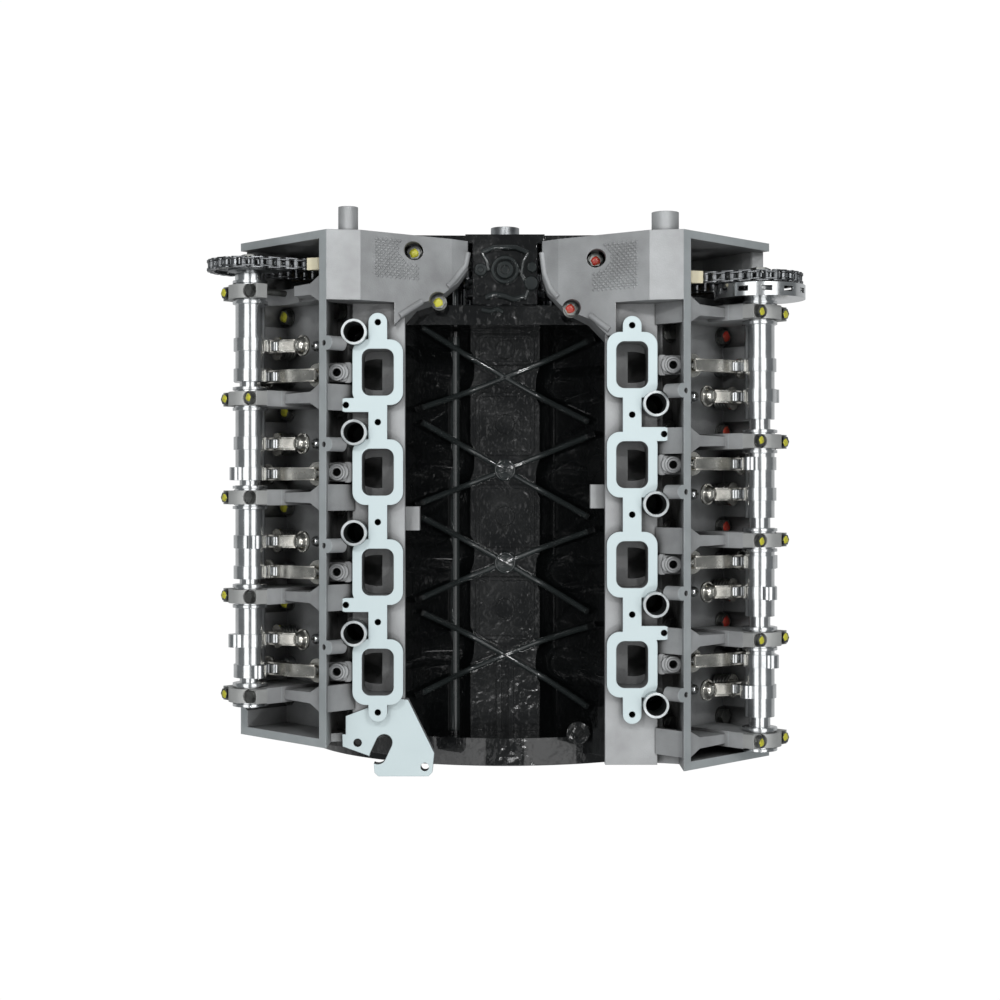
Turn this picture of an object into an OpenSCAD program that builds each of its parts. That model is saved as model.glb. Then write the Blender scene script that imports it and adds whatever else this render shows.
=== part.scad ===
// Long block of a 90 degree V8 engine with single overhead camshafts.
// X points to the right bank, Y to the front (timing) end, Z up.
// The origin is on the crankshaft axis, at the face that the bell housing bolts to.

/* [Cylinders] */
// Cylinder bore
bore_d = 93; // [90:0.5:95]
// Piston stroke
stroke = 86.5; // [82:0.5:88]
// Distance from one bore to the next in a bank
bore_pitch = 106.5; // [105:0.5:109]
// How far the left bank stands ahead of the right bank
bank_offset = 22; // [21:0.5:23]
// Rearmost bore of the right bank, ahead of the bell housing face
rear_bore_y = 108; // [106:1:112]
// Crank axis to head joint, along the bore
deck_h = 230; // [229:0.5:236]
// Angle of the crank away from top dead centre of the first throw
crank_angle = 20; // [0:5:355]

/* [Crank train] */
// Main journal diameter
main_d = 63.5; // [58:0.5:66]
// Crank pin diameter
pin_d = 50.8; // [46:0.4:52]
// Thickness of the plain bearing shells
shell_t = 2; // [1.5:0.1:2.5]
// Running clearance of the crank bearings, on the radius
oil_gap = 0.03; // [0.02:0.01:0.06]
// Piston crown below the deck at top dead centre
crown_gap = 0.75; // [0.5:0.05:1.5]
// Width of a rod at its big end
rod_w = 20.6; // [18:0.2:20.8]
// Wrist pin to piston crown
crown_h = 31; // [28:0.5:32]
// Wrist pin diameter
wrist_d = 24; // [20:0.5:26]
// Gap between piston and bore, on the radius
piston_gap = 0.35; // [0.3:0.05:0.6]
// Outside radius of the counterweights
weight_r = 77; // [70:1:78]

/* [Block] */
// Rear bell housing face to the front face of the block
block_l = 515; // [513:1:520]
// Width of the deck of one bank
deck_w = 132; // [126:1:136]
// Half width of the crankcase skirt
skirt_w = 122; // [118:1:126]
// Height of the valley floor above the crank
valley_h = 133; // [130:1:136]
// Height of the ribs above the valley floor
rib_h = 12; // [9:0.5:13]
// Thickness of the crossed ribs
rib_t = 6; // [4:0.5:8]
// Depth of the bedplate below the crank axis
bedplate_h = 62; // [58:1:68]
// Thickness of a main bearing web
web_t = 22; // [18:1:24]
// Radius of the bell housing rim
bell_r = 245; // [238:1:250]
// Centre of the bell housing rim below the crank
bell_drop = 48; // [44:1:52]
// Depth of the bell housing rim along the crank
bell_l = 31; // [24:1:34]

/* [Heads] */
// Thickness of the head gaskets
gasket_t = 0.8; // [0.6:0.1:1.2]
// Height of the valve cover rail above the crank, along the bore
rail_h = 357; // [354:1:360]
// Width of the valve cover rail
rail_w = 12; // [10:0.5:13]
// Floor of the cam chamber above the crank, along the bore
floor_h = 302; // [298:1:304]
// Height of the intake flange above the crank
flange_z = 289; // [287:1:291]
// Middle of the intake flange from the centre plane
flange_x = 135.5; // [134:0.5:137]
// Width of the frame round one intake port
flange_w = 56; // [52:1:58]
// Intake port opening across the engine
port_w = 34; // [30:1:36]
// Intake port opening along the engine
port_l = 50; // [44:1:52]
// Joint face of the timing cover ahead of the block
chest_l = 68; // [66:1:72]

/* [Valve train] */
// Height of the camshaft above the crank, along the bore
cam_h = 376.5; // [375:0.5:378]
// Camshaft axis outboard of the bore axis
cam_u = 14; // [12:0.5:15]
// Camshaft journal diameter
cam_d = 33; // [30:0.5:34]
// Camshaft tube diameter between the lobes
cam_tube_d = 32; // [28:0.5:33]
// Base circle diameter of the cam lobes
lobe_d = 36; // [35:0.5:37]
// Lift of the cam lobes
lobe_lift = 6.5; // [5:0.25:7]
// Width of a cam lobe
lobe_w = 14; // [12:0.5:15]
// Running clearance of the camshafts, on the radius
cam_gap = 0.04; // [0.03:0.01:0.08]
// Diameter of the rocker rollers
roller_d = 18; // [16:0.5:19]
// Valve and lobe distance from the bore centre, along the engine
valve_dy = 16.5; // [15:0.5:18]
// Width of a cam cap
cap_w = 15; // [13:0.5:17]

/* [Timing drive] */
// Pitch of the roller chains
chain_pitch = 9.525; // [9:0.025:9.6]
// Teeth of the crank sprocket
crank_teeth = 18; // [18:1:18]
// Teeth of the secondary sprockets
cam_teeth = 28; // [28:1:28]
// Height of the idler sprocket above the crank
idler_z = 130; // [129:0.5:132]
// Plane of the primary chain ahead of the block
primary_ahead = 51; // [50:0.5:52]
// Plane of the left secondary chain ahead of the block
left_chain_ahead = 36; // [35:0.5:37]
// Plane of the right secondary chain ahead of the block
right_chain_ahead = 22; // [21:0.5:23]

/* [Oil pan] */
// Depth of the sump below the crank axis
pan_depth = 190; // [170:5:220]
// Thickness of the sheet steel
pan_t = 2.5; // [2:0.25:3]

/* [Hidden] */
$fn = 48;
SIDES = [1, -1];
BORES = [0:3];
half = sqrt(0.5);
far = 2000;
seat = 0.3;
crank_r = stroke / 2;
main_r = main_d / 2;
pin_r = pin_d / 2;
wrist_r = wrist_d / 2;
bore_r = bore_d / 2;
head_h = deck_h + gasket_t;
rod_length = deck_h - stroke / 2 - crown_h - crown_gap;
chest_y = block_l + chest_l;
primary_y = block_l + primary_ahead;
left_chain_y = block_l + left_chain_ahead;
right_chain_y = block_l + right_chain_ahead;
weight_gap = 6;
bay_r = weight_r + weight_gap;
wall_t = 8;
THROWS = [0, 90, 270, 180];
rod_gap = 1;
pin_l = 2 * rod_w + 3 * rod_gap;

function bore_y(side, i) = rear_bore_y + (side < 0 ? bank_offset : 0) + i * bore_pitch;
function throw_y(i) = rear_bore_y + bank_offset / 2 + i * bore_pitch;
function main_y(i) = throw_y(i) - bore_pitch / 2;
function rod_y(side, i) = throw_y(i) - side * (rod_w + rod_gap) / 2;
// Angle of a crank pin from straight up, towards the right bank
function pin_angle(i) = crank_angle + 45 + THROWS[i];
function pin_x(i) = crank_r * sin(pin_angle(i));
function pin_z(i) = crank_r * cos(pin_angle(i));
// Height of a wrist pin along its bore: the slider and crank rule
function wrist_h(side, i) = let (a = pin_angle(i) - side * 45)
    crank_r * cos(a) + sqrt(pow(rod_length, 2) - pow(crank_r * sin(a), 2));

// Draws an X-Z outline from one Y to another
module along_y(from, to) {
    translate([0, to, 0]) rotate([90, 0, 0]) linear_extrude(to - from) children();
}

// A round bar along Y
module rod_along_y(r, from, to) {
    translate([0, from, 0]) rotate([-90, 0, 0]) cylinder(r = r, h = to - from);
}

// Turns a part drawn with its bore upright and outboard on +X into its bank
module bank(side) {
    if (side > 0) rotate([0, 45, 0]) children();
    else mirror([1, 0, 0]) rotate([0, 45, 0]) children();
}

// Mirrors a part drawn for the right side on to the left
module on_side(side) {
    if (side > 0) children();
    else mirror([1, 0, 0]) children();
}

// Puts a screw or bore, drawn along +Z, on a point of a bank
module on_bank(side, u, y, h) {
    bank(side) translate([u, y, h]) children();
}

// Hexagon bolt with its flange on z = 0 and its shank below
module hex_bolt(shank_r, length, flat_r) {
    head_t = shank_r * 1.4;
    translate([0, 0, -length]) cylinder(r = shank_r, h = length);
    cylinder(r = flat_r * 1.3, h = shank_r * 0.35);
    cylinder(r = flat_r * 1.12, h = head_t, $fn = 6);
}

// Right half of the block outline, seen from the front
function half_outline(lift) = let (
    floor_x = (valley_h + lift) - deck_w * half,
    top = [(deck_h - deck_w / 2) * half, (deck_h + deck_w / 2) * half],
    out = [(deck_h + deck_w / 2) * half, (deck_h - deck_w / 2) * half],
    foot = skirt_w
) [[floor_x, valley_h + lift], [top[0] - lift, top[1]], top, out, [foot, out[1] - (out[0] - foot)],
   [foot, 0]];

module whole_outline(points) {
    right = points;
    count = len(points);
    left = [for (i = [0:count - 1]) [-points[count - 1 - i][0], points[count - 1 - i][1]]];
    polygon(concat(left, right));
}

// Layer on the valley walls and floor, as thick as the lift
module valley_skin(lift) {
    difference() {
        along_y(30, block_l - 25) whole_outline(half_outline(lift));
        along_y(20, block_l - 20) whole_outline(half_outline(-2));
    }
}

// Pad with rounded corners, standing on z = 0
module rounded_pad(w, l, corner, height) {
    for (x = [corner - w, w - corner]) for (y = [corner - l, l - corner])
        translate([x, y, 0]) cylinder(r = corner, h = height);
    translate([-w, corner - l, 0]) cube([2 * w, 2 * (l - corner), height]);
    translate([corner - w, -l, 0]) cube([2 * (w - corner), 2 * l, height]);
}

rib_top_z = 204;
module valley_ribs() {
    arm_l = 215;
    steep = 29.7;
    shallow = 21.8;
    low = 60;
    intersection() {
        valley_skin(rib_h);
        union() {
            for (i = BORES) {
                for (turn = [-steep, shallow]) translate([0, throw_y(i), (low + rib_top_z) / 2])
                    rotate([0, 0, turn]) cube([arm_l, rib_t, rib_top_z - low], center = true);
                translate([0, throw_y(i), low]) cylinder(r = i == 0 ? 9 : 12, h = rib_top_z - low);
            }
            for (x = [-7, 7])
                translate([x - rib_t / 2, 20, low]) cube([rib_t, throw_y(0) - 20, rib_top_z - low]);
        }
    }
    // Low ridges along the foot of each wall
    intersection() {
        valley_skin(rib_h / 2);
        translate([52, throw_y(0) - 20, low]) cube([4, 3 * bore_pitch + 40, rib_top_z - low]);
    }
    // Oil gallery that runs the length of the left wall
    translate([-57, 0, valley_h + 18]) rod_along_y(5, 30, block_l - 25);
}

// Shallow framed panels on the valley floor between the rib crossings
module valley_panels() {
    rise = 4;
    rim = 4;
    for (i = BORES) {
        l = i == 3 ? 18 : 36;
        translate([0, throw_y(i) + (i == 3 ? 33 : bore_pitch / 2), valley_h - 1]) {
            difference() {
                rounded_pad(34, l, 9, rise + 1);
                translate([0, 0, 1]) rounded_pad(34 - rim, l - rim, 9 - rim, rise + 1);
            }
            cylinder(r = 11, h = rise + 2);
        }
    }
}

module bell_rim() {
    lip = 22;
    rim_wall = 9;
    difference() {
        union() {
            translate([0, 0, -bell_drop]) rod_along_y(bell_r, 0, bell_l);
        }
        translate([0, 0, -bell_drop]) rod_along_y(bell_r - lip, -1, 12);
        translate([0, 0, -bell_drop]) rod_along_y(bell_r - rim_wall, 12, bell_l - 8);
        translate([-far / 2, -1, -far - bedplate_h]) cube([far, bell_l + 2, far]);
        translate([-skirt_w - seat, -1, -bedplate_h - 1]) cube([2 * (skirt_w + seat), far, bedplate_h + 1]);
        // Clearance below the heads
        for (side = SIDES)
            bank(side) translate([-deck_w / 2 - 15, -1, deck_h]) cube([deck_w + 60, bell_l + 2, 200]);
        bell_holes();
    }
}

BELL_ANGLES = [-78, -50, -22, 22, 50, 78];
bell_hole_r = 5.5;
module bell_holes() {
    for (a = BELL_ANGLES)
        translate([0, 0, -bell_drop]) rotate([0, a, 0]) translate([0, 0, bell_r - 12])
            rod_along_y(bell_hole_r, -1, bell_l + 2);
}

module cylinder_block() color("#101113") {
    valley_top = (deck_h + deck_w / 2) * half;
    difference() {
        union() {
            along_y(12, block_l) whole_outline(half_outline(0));
            bell_rim();
            valley_ribs();
            valley_panels();
            // Boss behind the right bank
            translate([82, 36, 150]) cylinder(r = 13, h = 42);
            // Front bulkhead of the valley
            along_y(block_l - 22, block_l) polygon([[-100, 100], [100, 100],
                [110, valley_top - 4], [-110, valley_top - 4]]);
            // Cylinder barrels that bulge into the valley
            for (side = SIDES) for (i = BORES)
                bank(side) translate([-12, bore_y(side, i), 120]) cylinder(r = 58, h = deck_h - 121);
        }
        for (side = SIDES) for (i = BORES)
            bank(side) translate([0, bore_y(side, i), 60]) cylinder(r = bore_r, h = deck_h);
        for (i = BORES) {
            rod_along_y(bay_r, throw_y(i) - (bore_pitch - web_t) / 2,
                throw_y(i) + (bore_pitch - web_t) / 2);
        }
        rod_along_y(main_r + shell_t + oil_gap, -1, block_l + 1);
        rod_along_y(46, -1, 42);
        translate([82, 36, 178]) cylinder(r = 7, h = 30);
        for (side = SIDES) {
            for (y = head_bolt_ys(side)) for (u = BOLT_US)
                on_bank(side, u, y, deck_h - 60) cylinder(r = head_bolt_r + 0.4, h = 80);
            for (y = [60, 480]) on_bank(side, 57, y, deck_h - 8) cylinder(r = dowel_r, h = 20);
        }
        for (y = BEDPLATE_YS) for (x = [-50, 50])
            translate([x, y, -1]) cylinder(r = 5.5, h = 45);
        for (side = SIDES) for (i = BORES) core_plug_at(side, i) cylinder(r = core_r, h = 20);
    }
}

core_r = 19;
module core_plug_at(side, i) {
    on_bank(side, deck_w / 2 - 6, bore_y(side, i), 165) rotate([0, 90, 0]) children();
}

module core_plugs() color("#3a3c3e") {
    for (side = SIDES) for (i = BORES) core_plug_at(side, i) difference() {
        cylinder(r = core_r, h = 5);
        translate([0, 0, 2]) cylinder(r = core_r - 2, h = 5);
    }
}

BOLT_US = [42, -50];
head_bolt_r = 5.5;
dowel_r = 6;
BEDPLATE_YS = [for (i = [0:4]) main_y(i)];
function head_bolt_ys(side) = [for (i = [0:4]) bore_y(side, i) - bore_pitch / 2];

module locating_dowels() color("#b8bcc0") {
    for (side = SIDES) for (y = [60, 480])
        on_bank(side, 57, y, deck_h - 8) cylinder(r = dowel_r, h = 8 + gasket_t + 7);
}

module bedplate() color("#17181a") {
    rail_w = 14;
    difference() {
        along_y(12, block_l) polygon([[-skirt_w, 0], [skirt_w, 0], [skirt_w, -bedplate_h],
            [-skirt_w, -bedplate_h]]);
        for (i = BORES)
            translate([rail_w - skirt_w, throw_y(i) - (bore_pitch - web_t) / 2, -bedplate_h - 1])
                cube([2 * (skirt_w - rail_w), bore_pitch - web_t, bedplate_h + 2]);
        rod_along_y(main_r + shell_t + oil_gap, -1, block_l + 1);
        rod_along_y(46, -1, 42);
        for (y = BEDPLATE_YS) for (x = [-50, 50]) {
            translate([x, y, -bedplate_h - 1]) cylinder(r = 5.5, h = bedplate_h + 2);
            translate([x, y, -bedplate_h - 1]) cylinder(r = 12, h = 12);
        }
    }
}

module bedplate_bolts() color("#54585c") {
    for (y = BEDPLATE_YS) for (x = [-50, 50])
        translate([x, y, 11 - bedplate_h]) mirror([0, 0, 1]) hex_bolt(5.2, bedplate_h + 20, 7);
}

module main_bearings() color("#c9b48a") {
    shell_w = 19;
    difference() {
        for (i = [0:4]) rod_along_y(main_r + shell_t, main_y(i) - shell_w / 2, main_y(i) + shell_w / 2);
        rod_along_y(main_r + oil_gap, -1, block_l + 1);
    }
}

module crankshaft() color("#8f9396") {
    cheek_t = (bore_pitch - pin_l - web_t - 4) / 2;
    nose_l = cover_l + 35;
    nose_r = 18;
    hub_r = 17.5;
    flange_r = 42;
    difference() {
        union() {
            for (i = [0:4]) rod_along_y(main_r, main_y(i) - web_t / 2 - 2.1, main_y(i) + web_t / 2 + 2.1);
            for (i = BORES) {
                translate([pin_x(i), 0, pin_z(i)])
                    rod_along_y(pin_r, throw_y(i) - pin_l / 2 - 0.1, throw_y(i) + pin_l / 2 + 0.1);
                for (end = SIDES) cheek(i, end, cheek_t);
            }
            rod_along_y(flange_r, 0, 16);
            rod_along_y(main_r, 15, main_y(0));
            rod_along_y(main_r - 4, main_y(4) + web_t / 2, block_l - 1);
            rod_along_y(nose_r, block_l - 2, cover_l + 7);
            rod_along_y(hub_r, cover_l + 6, nose_l);
        }
        rod_along_y(pilot_r, -1, pilot_l);
        for (i = [0:7]) rotate([0, 45 * i, 0]) translate([0, 0, flywheel_pcd / 2])
            rod_along_y(flywheel_hole_r, -1, 14);
        rod_along_y(7, nose_l - 40, nose_l + 1);
        translate([-2.5, block_l + 10, nose_r - 3.5]) cube([5, 70, 8]);
    }
}

pilot_r = 12;
pilot_l = 22;
flywheel_pcd = 62;
flywheel_hole_r = 4.6;

module cheek(i, end, cheek_t) {
    y = throw_y(i) + end * (pin_l + cheek_t) / 2;
    rotate([0, pin_angle(i), 0]) intersection() {
        rod_along_y(weight_r, y - cheek_t / 2, y + cheek_t / 2);
        along_y(y - cheek_t, y + cheek_t) union() {
            translate([0, crank_r]) circle(r = pin_r + 7);
            translate([-pin_r - 6, 0]) square([2 * pin_r + 12, crank_r + 12]);
            circle(r = main_r + 6);
            polygon([[-main_r - 4, 0], [main_r + 4, 0], [70, -24], [70, -90], [-70, -90], [-70, -24]]);
        }
    }
}

module crank_key() color("#6d7073") {
    translate([-2.5, block_l + 15, 14.5]) cube([5, 50, 5]);
}

module on_rod(side, i) {
    wx = side * wrist_h(side, i) * half;
    wz = wrist_h(side, i) * half;
    translate([pin_x(i), rod_y(side, i), pin_z(i)])
        rotate([0, atan2(wx - pin_x(i), wz - pin_z(i)), 0]) children();
}

module connecting_rods() color("#777b7e") {
    eye_r = wrist_r + 7;
    big_r = pin_r + 10;
    small_w = rod_w;
    for (side = SIDES) for (i = BORES) on_rod(side, i) difference() {
        union() {
            rod_along_y(big_r, -rod_w / 2, rod_w / 2);
            translate([0, 0, rod_length]) rod_along_y(eye_r, -small_w / 2, small_w / 2);
            along_y(-7, 7) polygon([[-20, 25], [20, 25], [12, rod_length - 12], [-12, rod_length - 12]]);
            for (x = SIDES) translate([x * (big_r - 3), 0, -14]) cylinder(r = 5.5, h = 28);
        }
        rod_along_y(pin_r + oil_gap, -rod_w, rod_w);
        translate([0, 0, rod_length]) rod_along_y(wrist_r + oil_gap, -rod_w, rod_w);
        for (y = SIDES) translate([0, y * 9, 90]) cube([16, 8, 70], center = true);
    }
}

module at_piston(side, i) {
    bank(side) translate([0, bore_y(side, i), wrist_h(side, i)]) children();
}

skirt_h = 24;
module pistons() color("#b9bdc1") {
    for (side = SIDES) for (i = BORES) at_piston(side, i) difference() {
        translate([0, 0, -skirt_h]) cylinder(r = bore_r - piston_gap, h = skirt_h + crown_h);
        for (z = [5, 10, 15]) translate([0, 0, crown_h - z - 2]) difference() {
            cylinder(r = bore_r + 1, h = 2);
            translate([0, 0, -1]) cylinder(r = bore_r - 4, h = 4);
        }
        translate([0, 0, -skirt_h - 1]) cylinder(r = bore_r - 7, h = skirt_h - wrist_r - 5);
        translate([-(wrist_r + 10), -rod_w / 2 - 4, -skirt_h - 1])
            cube([2 * wrist_r + 20, rod_w + 8, skirt_h + wrist_r + 11]);
        translate([0, 0, crown_h - 2]) cylinder(r1 = 24, r2 = 30, h = 3);
        rod_along_y(wrist_r + oil_gap, -bore_d, bore_d);
    }
}

module piston_rings() color("#55585b") {
    for (side = SIDES) for (i = BORES) at_piston(side, i)
        for (z = [5, 10, 15]) translate([0, 0, crown_h - z - 1.8]) difference() {
            cylinder(r = bore_r - 0.05, h = 1.6);
            translate([0, 0, -1]) cylinder(r = bore_r - 3.6, h = 4);
        }
}

module wrist_pins() color("#d2d5d8") {
    for (side = SIDES) for (i = BORES) at_piston(side, i) difference() {
        rod_along_y(wrist_r, -32, 32);
        rod_along_y(wrist_r - 5, -33, 33);
    }
}

head_back = [14, 38];
chamber_in = -80;
chamber_out = 46;
rail_in = -92;
rail_out = 58;
wall_front_t = 9;
sprocket_room = 52;
tower_w = 17;
tab_w = 15;
tube_r = 13.7;
tube_x = 160;
tube_bore_r = 11;
port_ahead = 15;
plug_ahead = 27;
flange_bolt_r = 3.4;
cam_bolt_spread = 22;
cam_bolt_us = [cam_u + cam_bolt_spread, cam_u - cam_bolt_spread];
cam_bolt_r = 3.5;
EX_TIP = 31;
EX_HEAD = 18;
IN_TIP = -41;
IN_HEAD = -20;
tip_h = 333;

function back_y(side) = side > 0 ? head_back[0] : head_back[1];
function intake_y(side, i) = bore_y(side, i) + side * valve_dy;
function exhaust_y(side, i) = bore_y(side, i) - side * valve_dy;
function port_y(side, i) = bore_y(side, i) + side * port_ahead;
function plug_y(side, i) = bore_y(side, i) - side * plug_ahead;
// Middles of the cam bearings: two at the ends and one for each bore between them
function cap_ys(side) = side > 0
    ? concat([bore_y(1, 0) - 68], [for (i = [0:2]) bore_y(1, i) + 40.5], [bore_y(1, 3) + 73])
    : concat([for (i = BORES) bore_y(-1, i) - 42], [bore_y(-1, 3) + 73]);
function chest_back(side) = max(bore_y(side, 3) + 85, block_l + 8);
function flange_bolt_ys(side) = concat(
    [port_y(side, 0) - (side > 0 ? bore_pitch / 2 : 43)],
    [for (i = [0:2]) port_y(side, i) + bore_pitch / 2],
    [port_y(side, 3) + (side > 0 ? 42 : bore_pitch / 2)]);
function tab_ys(side) = side > 0 ? [156.7, 368.6] : [186.5, 399.5];

// Corner of a bank, as X and Z of the right side
function at(u, h) = [(h + u) * half, (h - u) * half];

module head_outline() {
    polygon([at(-66, head_h), at(66, head_h), at(70, 262), at(84, 268), at(84, 300), at(rail_out, 326),
        at(rail_out, rail_h), at(rail_in, rail_h), [at(rail_in, rail_h)[0], 270],
        [flange_x + flange_w / 2, 262], [flange_x + flange_w / 2, flange_z - 14],
        [flange_x - flange_w / 2, flange_z - 14], [flange_x - flange_w / 2, 262], [112, 238]]);
}

// The lobe of the chain chest that leans over the timing cover
module chest_outline() {
    polygon([at(-66, head_h), at(66, head_h), at(70, 262), at(rail_out, 326), at(rail_out, rail_h),
        at(rail_in, rail_h), [152, 312], [58, 246], [41, 230], [41, 206], [112, 206.5]]);
}

module chest_cavity() {
    polygon([at(-60, head_h - 1), at(57, head_h - 1), at(60, 262), at(rail_out - 9, 326),
        at(rail_out - 9, rail_h + 1), at(rail_in + rail_w, rail_h + 1), at(rail_in + rail_w, rail_h - 12),
        [148, 299], [60, 236], [49, 224], [49, 205], [112, 205]]);
}

// One rounded frame of the intake flange, drawn on its port
module port_frame(grow, height) {
    rounded_pad(port_w / 2 + grow, port_l / 2 + grow, 9 + grow / 2, height);
}

// Plan of the chest lobe over the timing cover: distance from the centre plane, place ahead of the block
LOBE_RIGHT = [[36, 57], [40, 30], [47, 10], [65, -9], [93, -23], [110, -41], [118, -41], [118, -6]];
LOBE_LEFT = [[36, 57], [40, 38], [52, 20], [74, 1], [98, -7], [112, -23], [118, -30], [118, -6]];
module lobe_plan(side, inset) {
    edge = side > 0 ? LOBE_RIGHT : LOBE_LEFT;
    linear_extrude(far) polygon(concat([[36 + inset, block_l + 120]],
        [for (p = edge) [p[0] + inset, block_l + p[1] + inset / 2]],
        [[400, block_l - 6 + inset / 2], [400, block_l + 120]]));
}

module head_body(side) {
    back = back_y(side);
    front = chest_back(side);
    difference() {
        union() {
            on_side(side) along_y(back, front) head_outline();
            on_side(side) intersection() {
                along_y(block_l - 45, chest_y - seat) chest_outline();
                lobe_plan(side, 0);
            }
            front_boss(side);
            // Intake flange: frames, the bars that link them, and the side tabs
            on_side(side) {
                for (i = BORES) translate([flange_x, port_y(side, i), flange_z - 16])
                    port_frame(10, 16);
                translate([flange_x - 10, flange_bolt_ys(side)[0], flange_z - 16])
                    cube([20, flange_bolt_ys(side)[4] - flange_bolt_ys(side)[0], 16]);
                for (y = [flange_bolt_ys(side)[0], flange_bolt_ys(side)[4]])
                    translate([flange_x, y, flange_z - 16]) cylinder(r = 10, h = 16);
                for (y = tab_ys(side)) {
                    translate([flange_x, y - tab_w / 2, flange_z - 12]) cube([34, tab_w, 12]);
                    translate([flange_x + 34, y, flange_z - 12]) cylinder(r = tab_w / 2, h = 12);
                }
                // Bosses beside the ports and seats of the plug tubes
                for (i = BORES) {
                    translate([175, port_y(side, i), 255]) {
                        rounded_pad(11.5, 11, 3, 28);
                        cylinder(r = 8, h = 31);
                    }
                    translate([tube_x, plug_y(side, i), 240]) cylinder(r = tube_r + 3, h = 26);
                }
                lifting_boss(side);
            }
            if (side < 0) rear_plate();
        }
        head_chamber(side);
        on_side(side) intersection() {
            union() {
                along_y(chest_back(side) - 0.1, chest_y - wall_front_t) chest_cavity();
                along_y(block_l + 7, chest_back(side)) polygon([at(-60, head_h - 1),
                    at(57, head_h - 1), at(50, 285), at(-50, 285), [90, 238], [62, 236], [49, 224],
                    [49, 205], [112, 205]]);
            }
            lobe_plan(side, 8);
        }
    }
}

// Coolant boss that reaches ahead of the chain chest
module front_boss(side) {
    r = side > 0 ? 14.5 : 10.5;
    reach = side > 0 ? 20 : 25;
    on_side(side) translate([side > 0 ? 170 : 166, 0, side > 0 ? 296 : 300]) difference() {
        rod_along_y(r, chest_y - 15, chest_y + reach);
        rod_along_y(r / 2, chest_y + reach - 18, chest_y + reach + 1);
    }
}

module head(side) {
    difference() {
        union() {
            head_body(side);
            towers(side);
            rail_bumps(side);
            if (side > 0) front_post();
        }
        head_ports(side);
        head_bores(side);
        if (side < 0) rear_plate_holes();
        // Way for the secondary chain
        along_y(chain_y(side) - 8, chain_y(side) + 8)
            polygon(loop_points(secondary(side)[0], secondary(side)[1], plate_h + 1.2));
        // Room for the camshaft sprocket, which reaches past the outer rail
        bank(side) translate([cam_u, 0, cam_h])
            rod_along_y(sprocket_room, block_l - 4, chest_y - wall_front_t);
        bank(side) for (y = cap_ys(side)) {
            translate([cam_u, 0, cam_h]) rod_along_y(cam_d / 2 + cam_gap, y - 20, y + 20);
            for (u = cam_bolt_us) translate([u, y, cam_h - 34]) cylinder(r = cam_bolt_r + 0.3, h = 40);
        }
    }
}

// Boss that the engine hanger bolts to, on the valley side of the head
module lifting_boss(side) {
    y = side > 0 ? 302 : 278;
    translate([93, y - 13, 228]) cube([26, 26, 20]);
}

// Mount pad behind the left bank, cast with the head
rear_plate_z = 262;
module rear_plate() {
    translate([0, 0, rear_plate_z]) linear_extrude(15) polygon([[-104, 84], [-120, 86], [-172, 66],
        [-175, 60], [-174, 34], [-146, 24], [-141, 20], [-140, 6], [-136, 2], [-82, 2], [-78, 6],
        [-76, 27]]);
}

module rear_plate_holes() {
    translate([-133, 31, 240]) rotate([0, 0, -25]) {
        translate([-9, -8, 0]) cube([18, 16, 60]);
        for (y = SIDES) translate([0, 8 * y, 0]) cylinder(r = 9, h = 60);
    }
    for (p = [[-158, 38], [-86, 12]]) translate([p[0], p[1], 240]) cylinder(r = 4.5, h = 40);
}

module head_chamber(side) {
    back = back_y(side);
    difference() {
        on_side(side) along_y(back + 9, chest_back(side) + 1) polygon([at(chamber_in, rail_h + 1),
            at(chamber_out, rail_h + 1), at(chamber_out, floor_h), at(-62, floor_h), at(chamber_in, 322)]);
        // The bulkhead between the cam chamber and the chain chest
        on_side(side) along_y(cap_ys(side)[4] - tower_w / 2, cap_ys(side)[4] + tower_w / 2)
            polygon([at(chamber_in - 5, 330), at(chamber_out + 5, 330), at(chamber_out + 5, 290),
                at(chamber_in - 5, 290)]);
    }
}

module head_ports(side) {
    for (i = BORES) {
        on_side(side) {
            translate([flange_x, port_y(side, i), flange_z - 40]) port_frame(0, 60);
            // Bend of the port down to the intake valve
            translate([flange_x, port_y(side, i), flange_z - 38]) rotate([0, 130, 0])
                cylinder(r = 17, h = 42);
        }
        on_bank(side, 40, exhaust_y(side, i), 284) rotate([0, 90, 0]) cylinder(r = 17, h = 60);
        bank(side) {
            // Chamber roof and valve throats
            translate([0, bore_y(side, i), head_h - 1]) cylinder(r1 = bore_r - 1, r2 = 30, h = 14);
            translate([IN_HEAD + 1, intake_y(side, i), head_h]) cylinder(r = 20, h = 28);
            translate([EX_HEAD, exhaust_y(side, i), head_h]) cylinder(r = 16.5, h = 28);
        }
    }
}

module valve_axis(side, i, intake) {
    foot = intake ? IN_HEAD : EX_HEAD;
    tip = intake ? IN_TIP : EX_TIP;
    y = intake ? intake_y(side, i) : exhaust_y(side, i);
    valve_h = head_h + 9;
    bank(side) translate([foot, y, valve_h]) rotate([0, atan2(tip - foot, tip_h - valve_h), 0])
        children();
}

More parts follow.
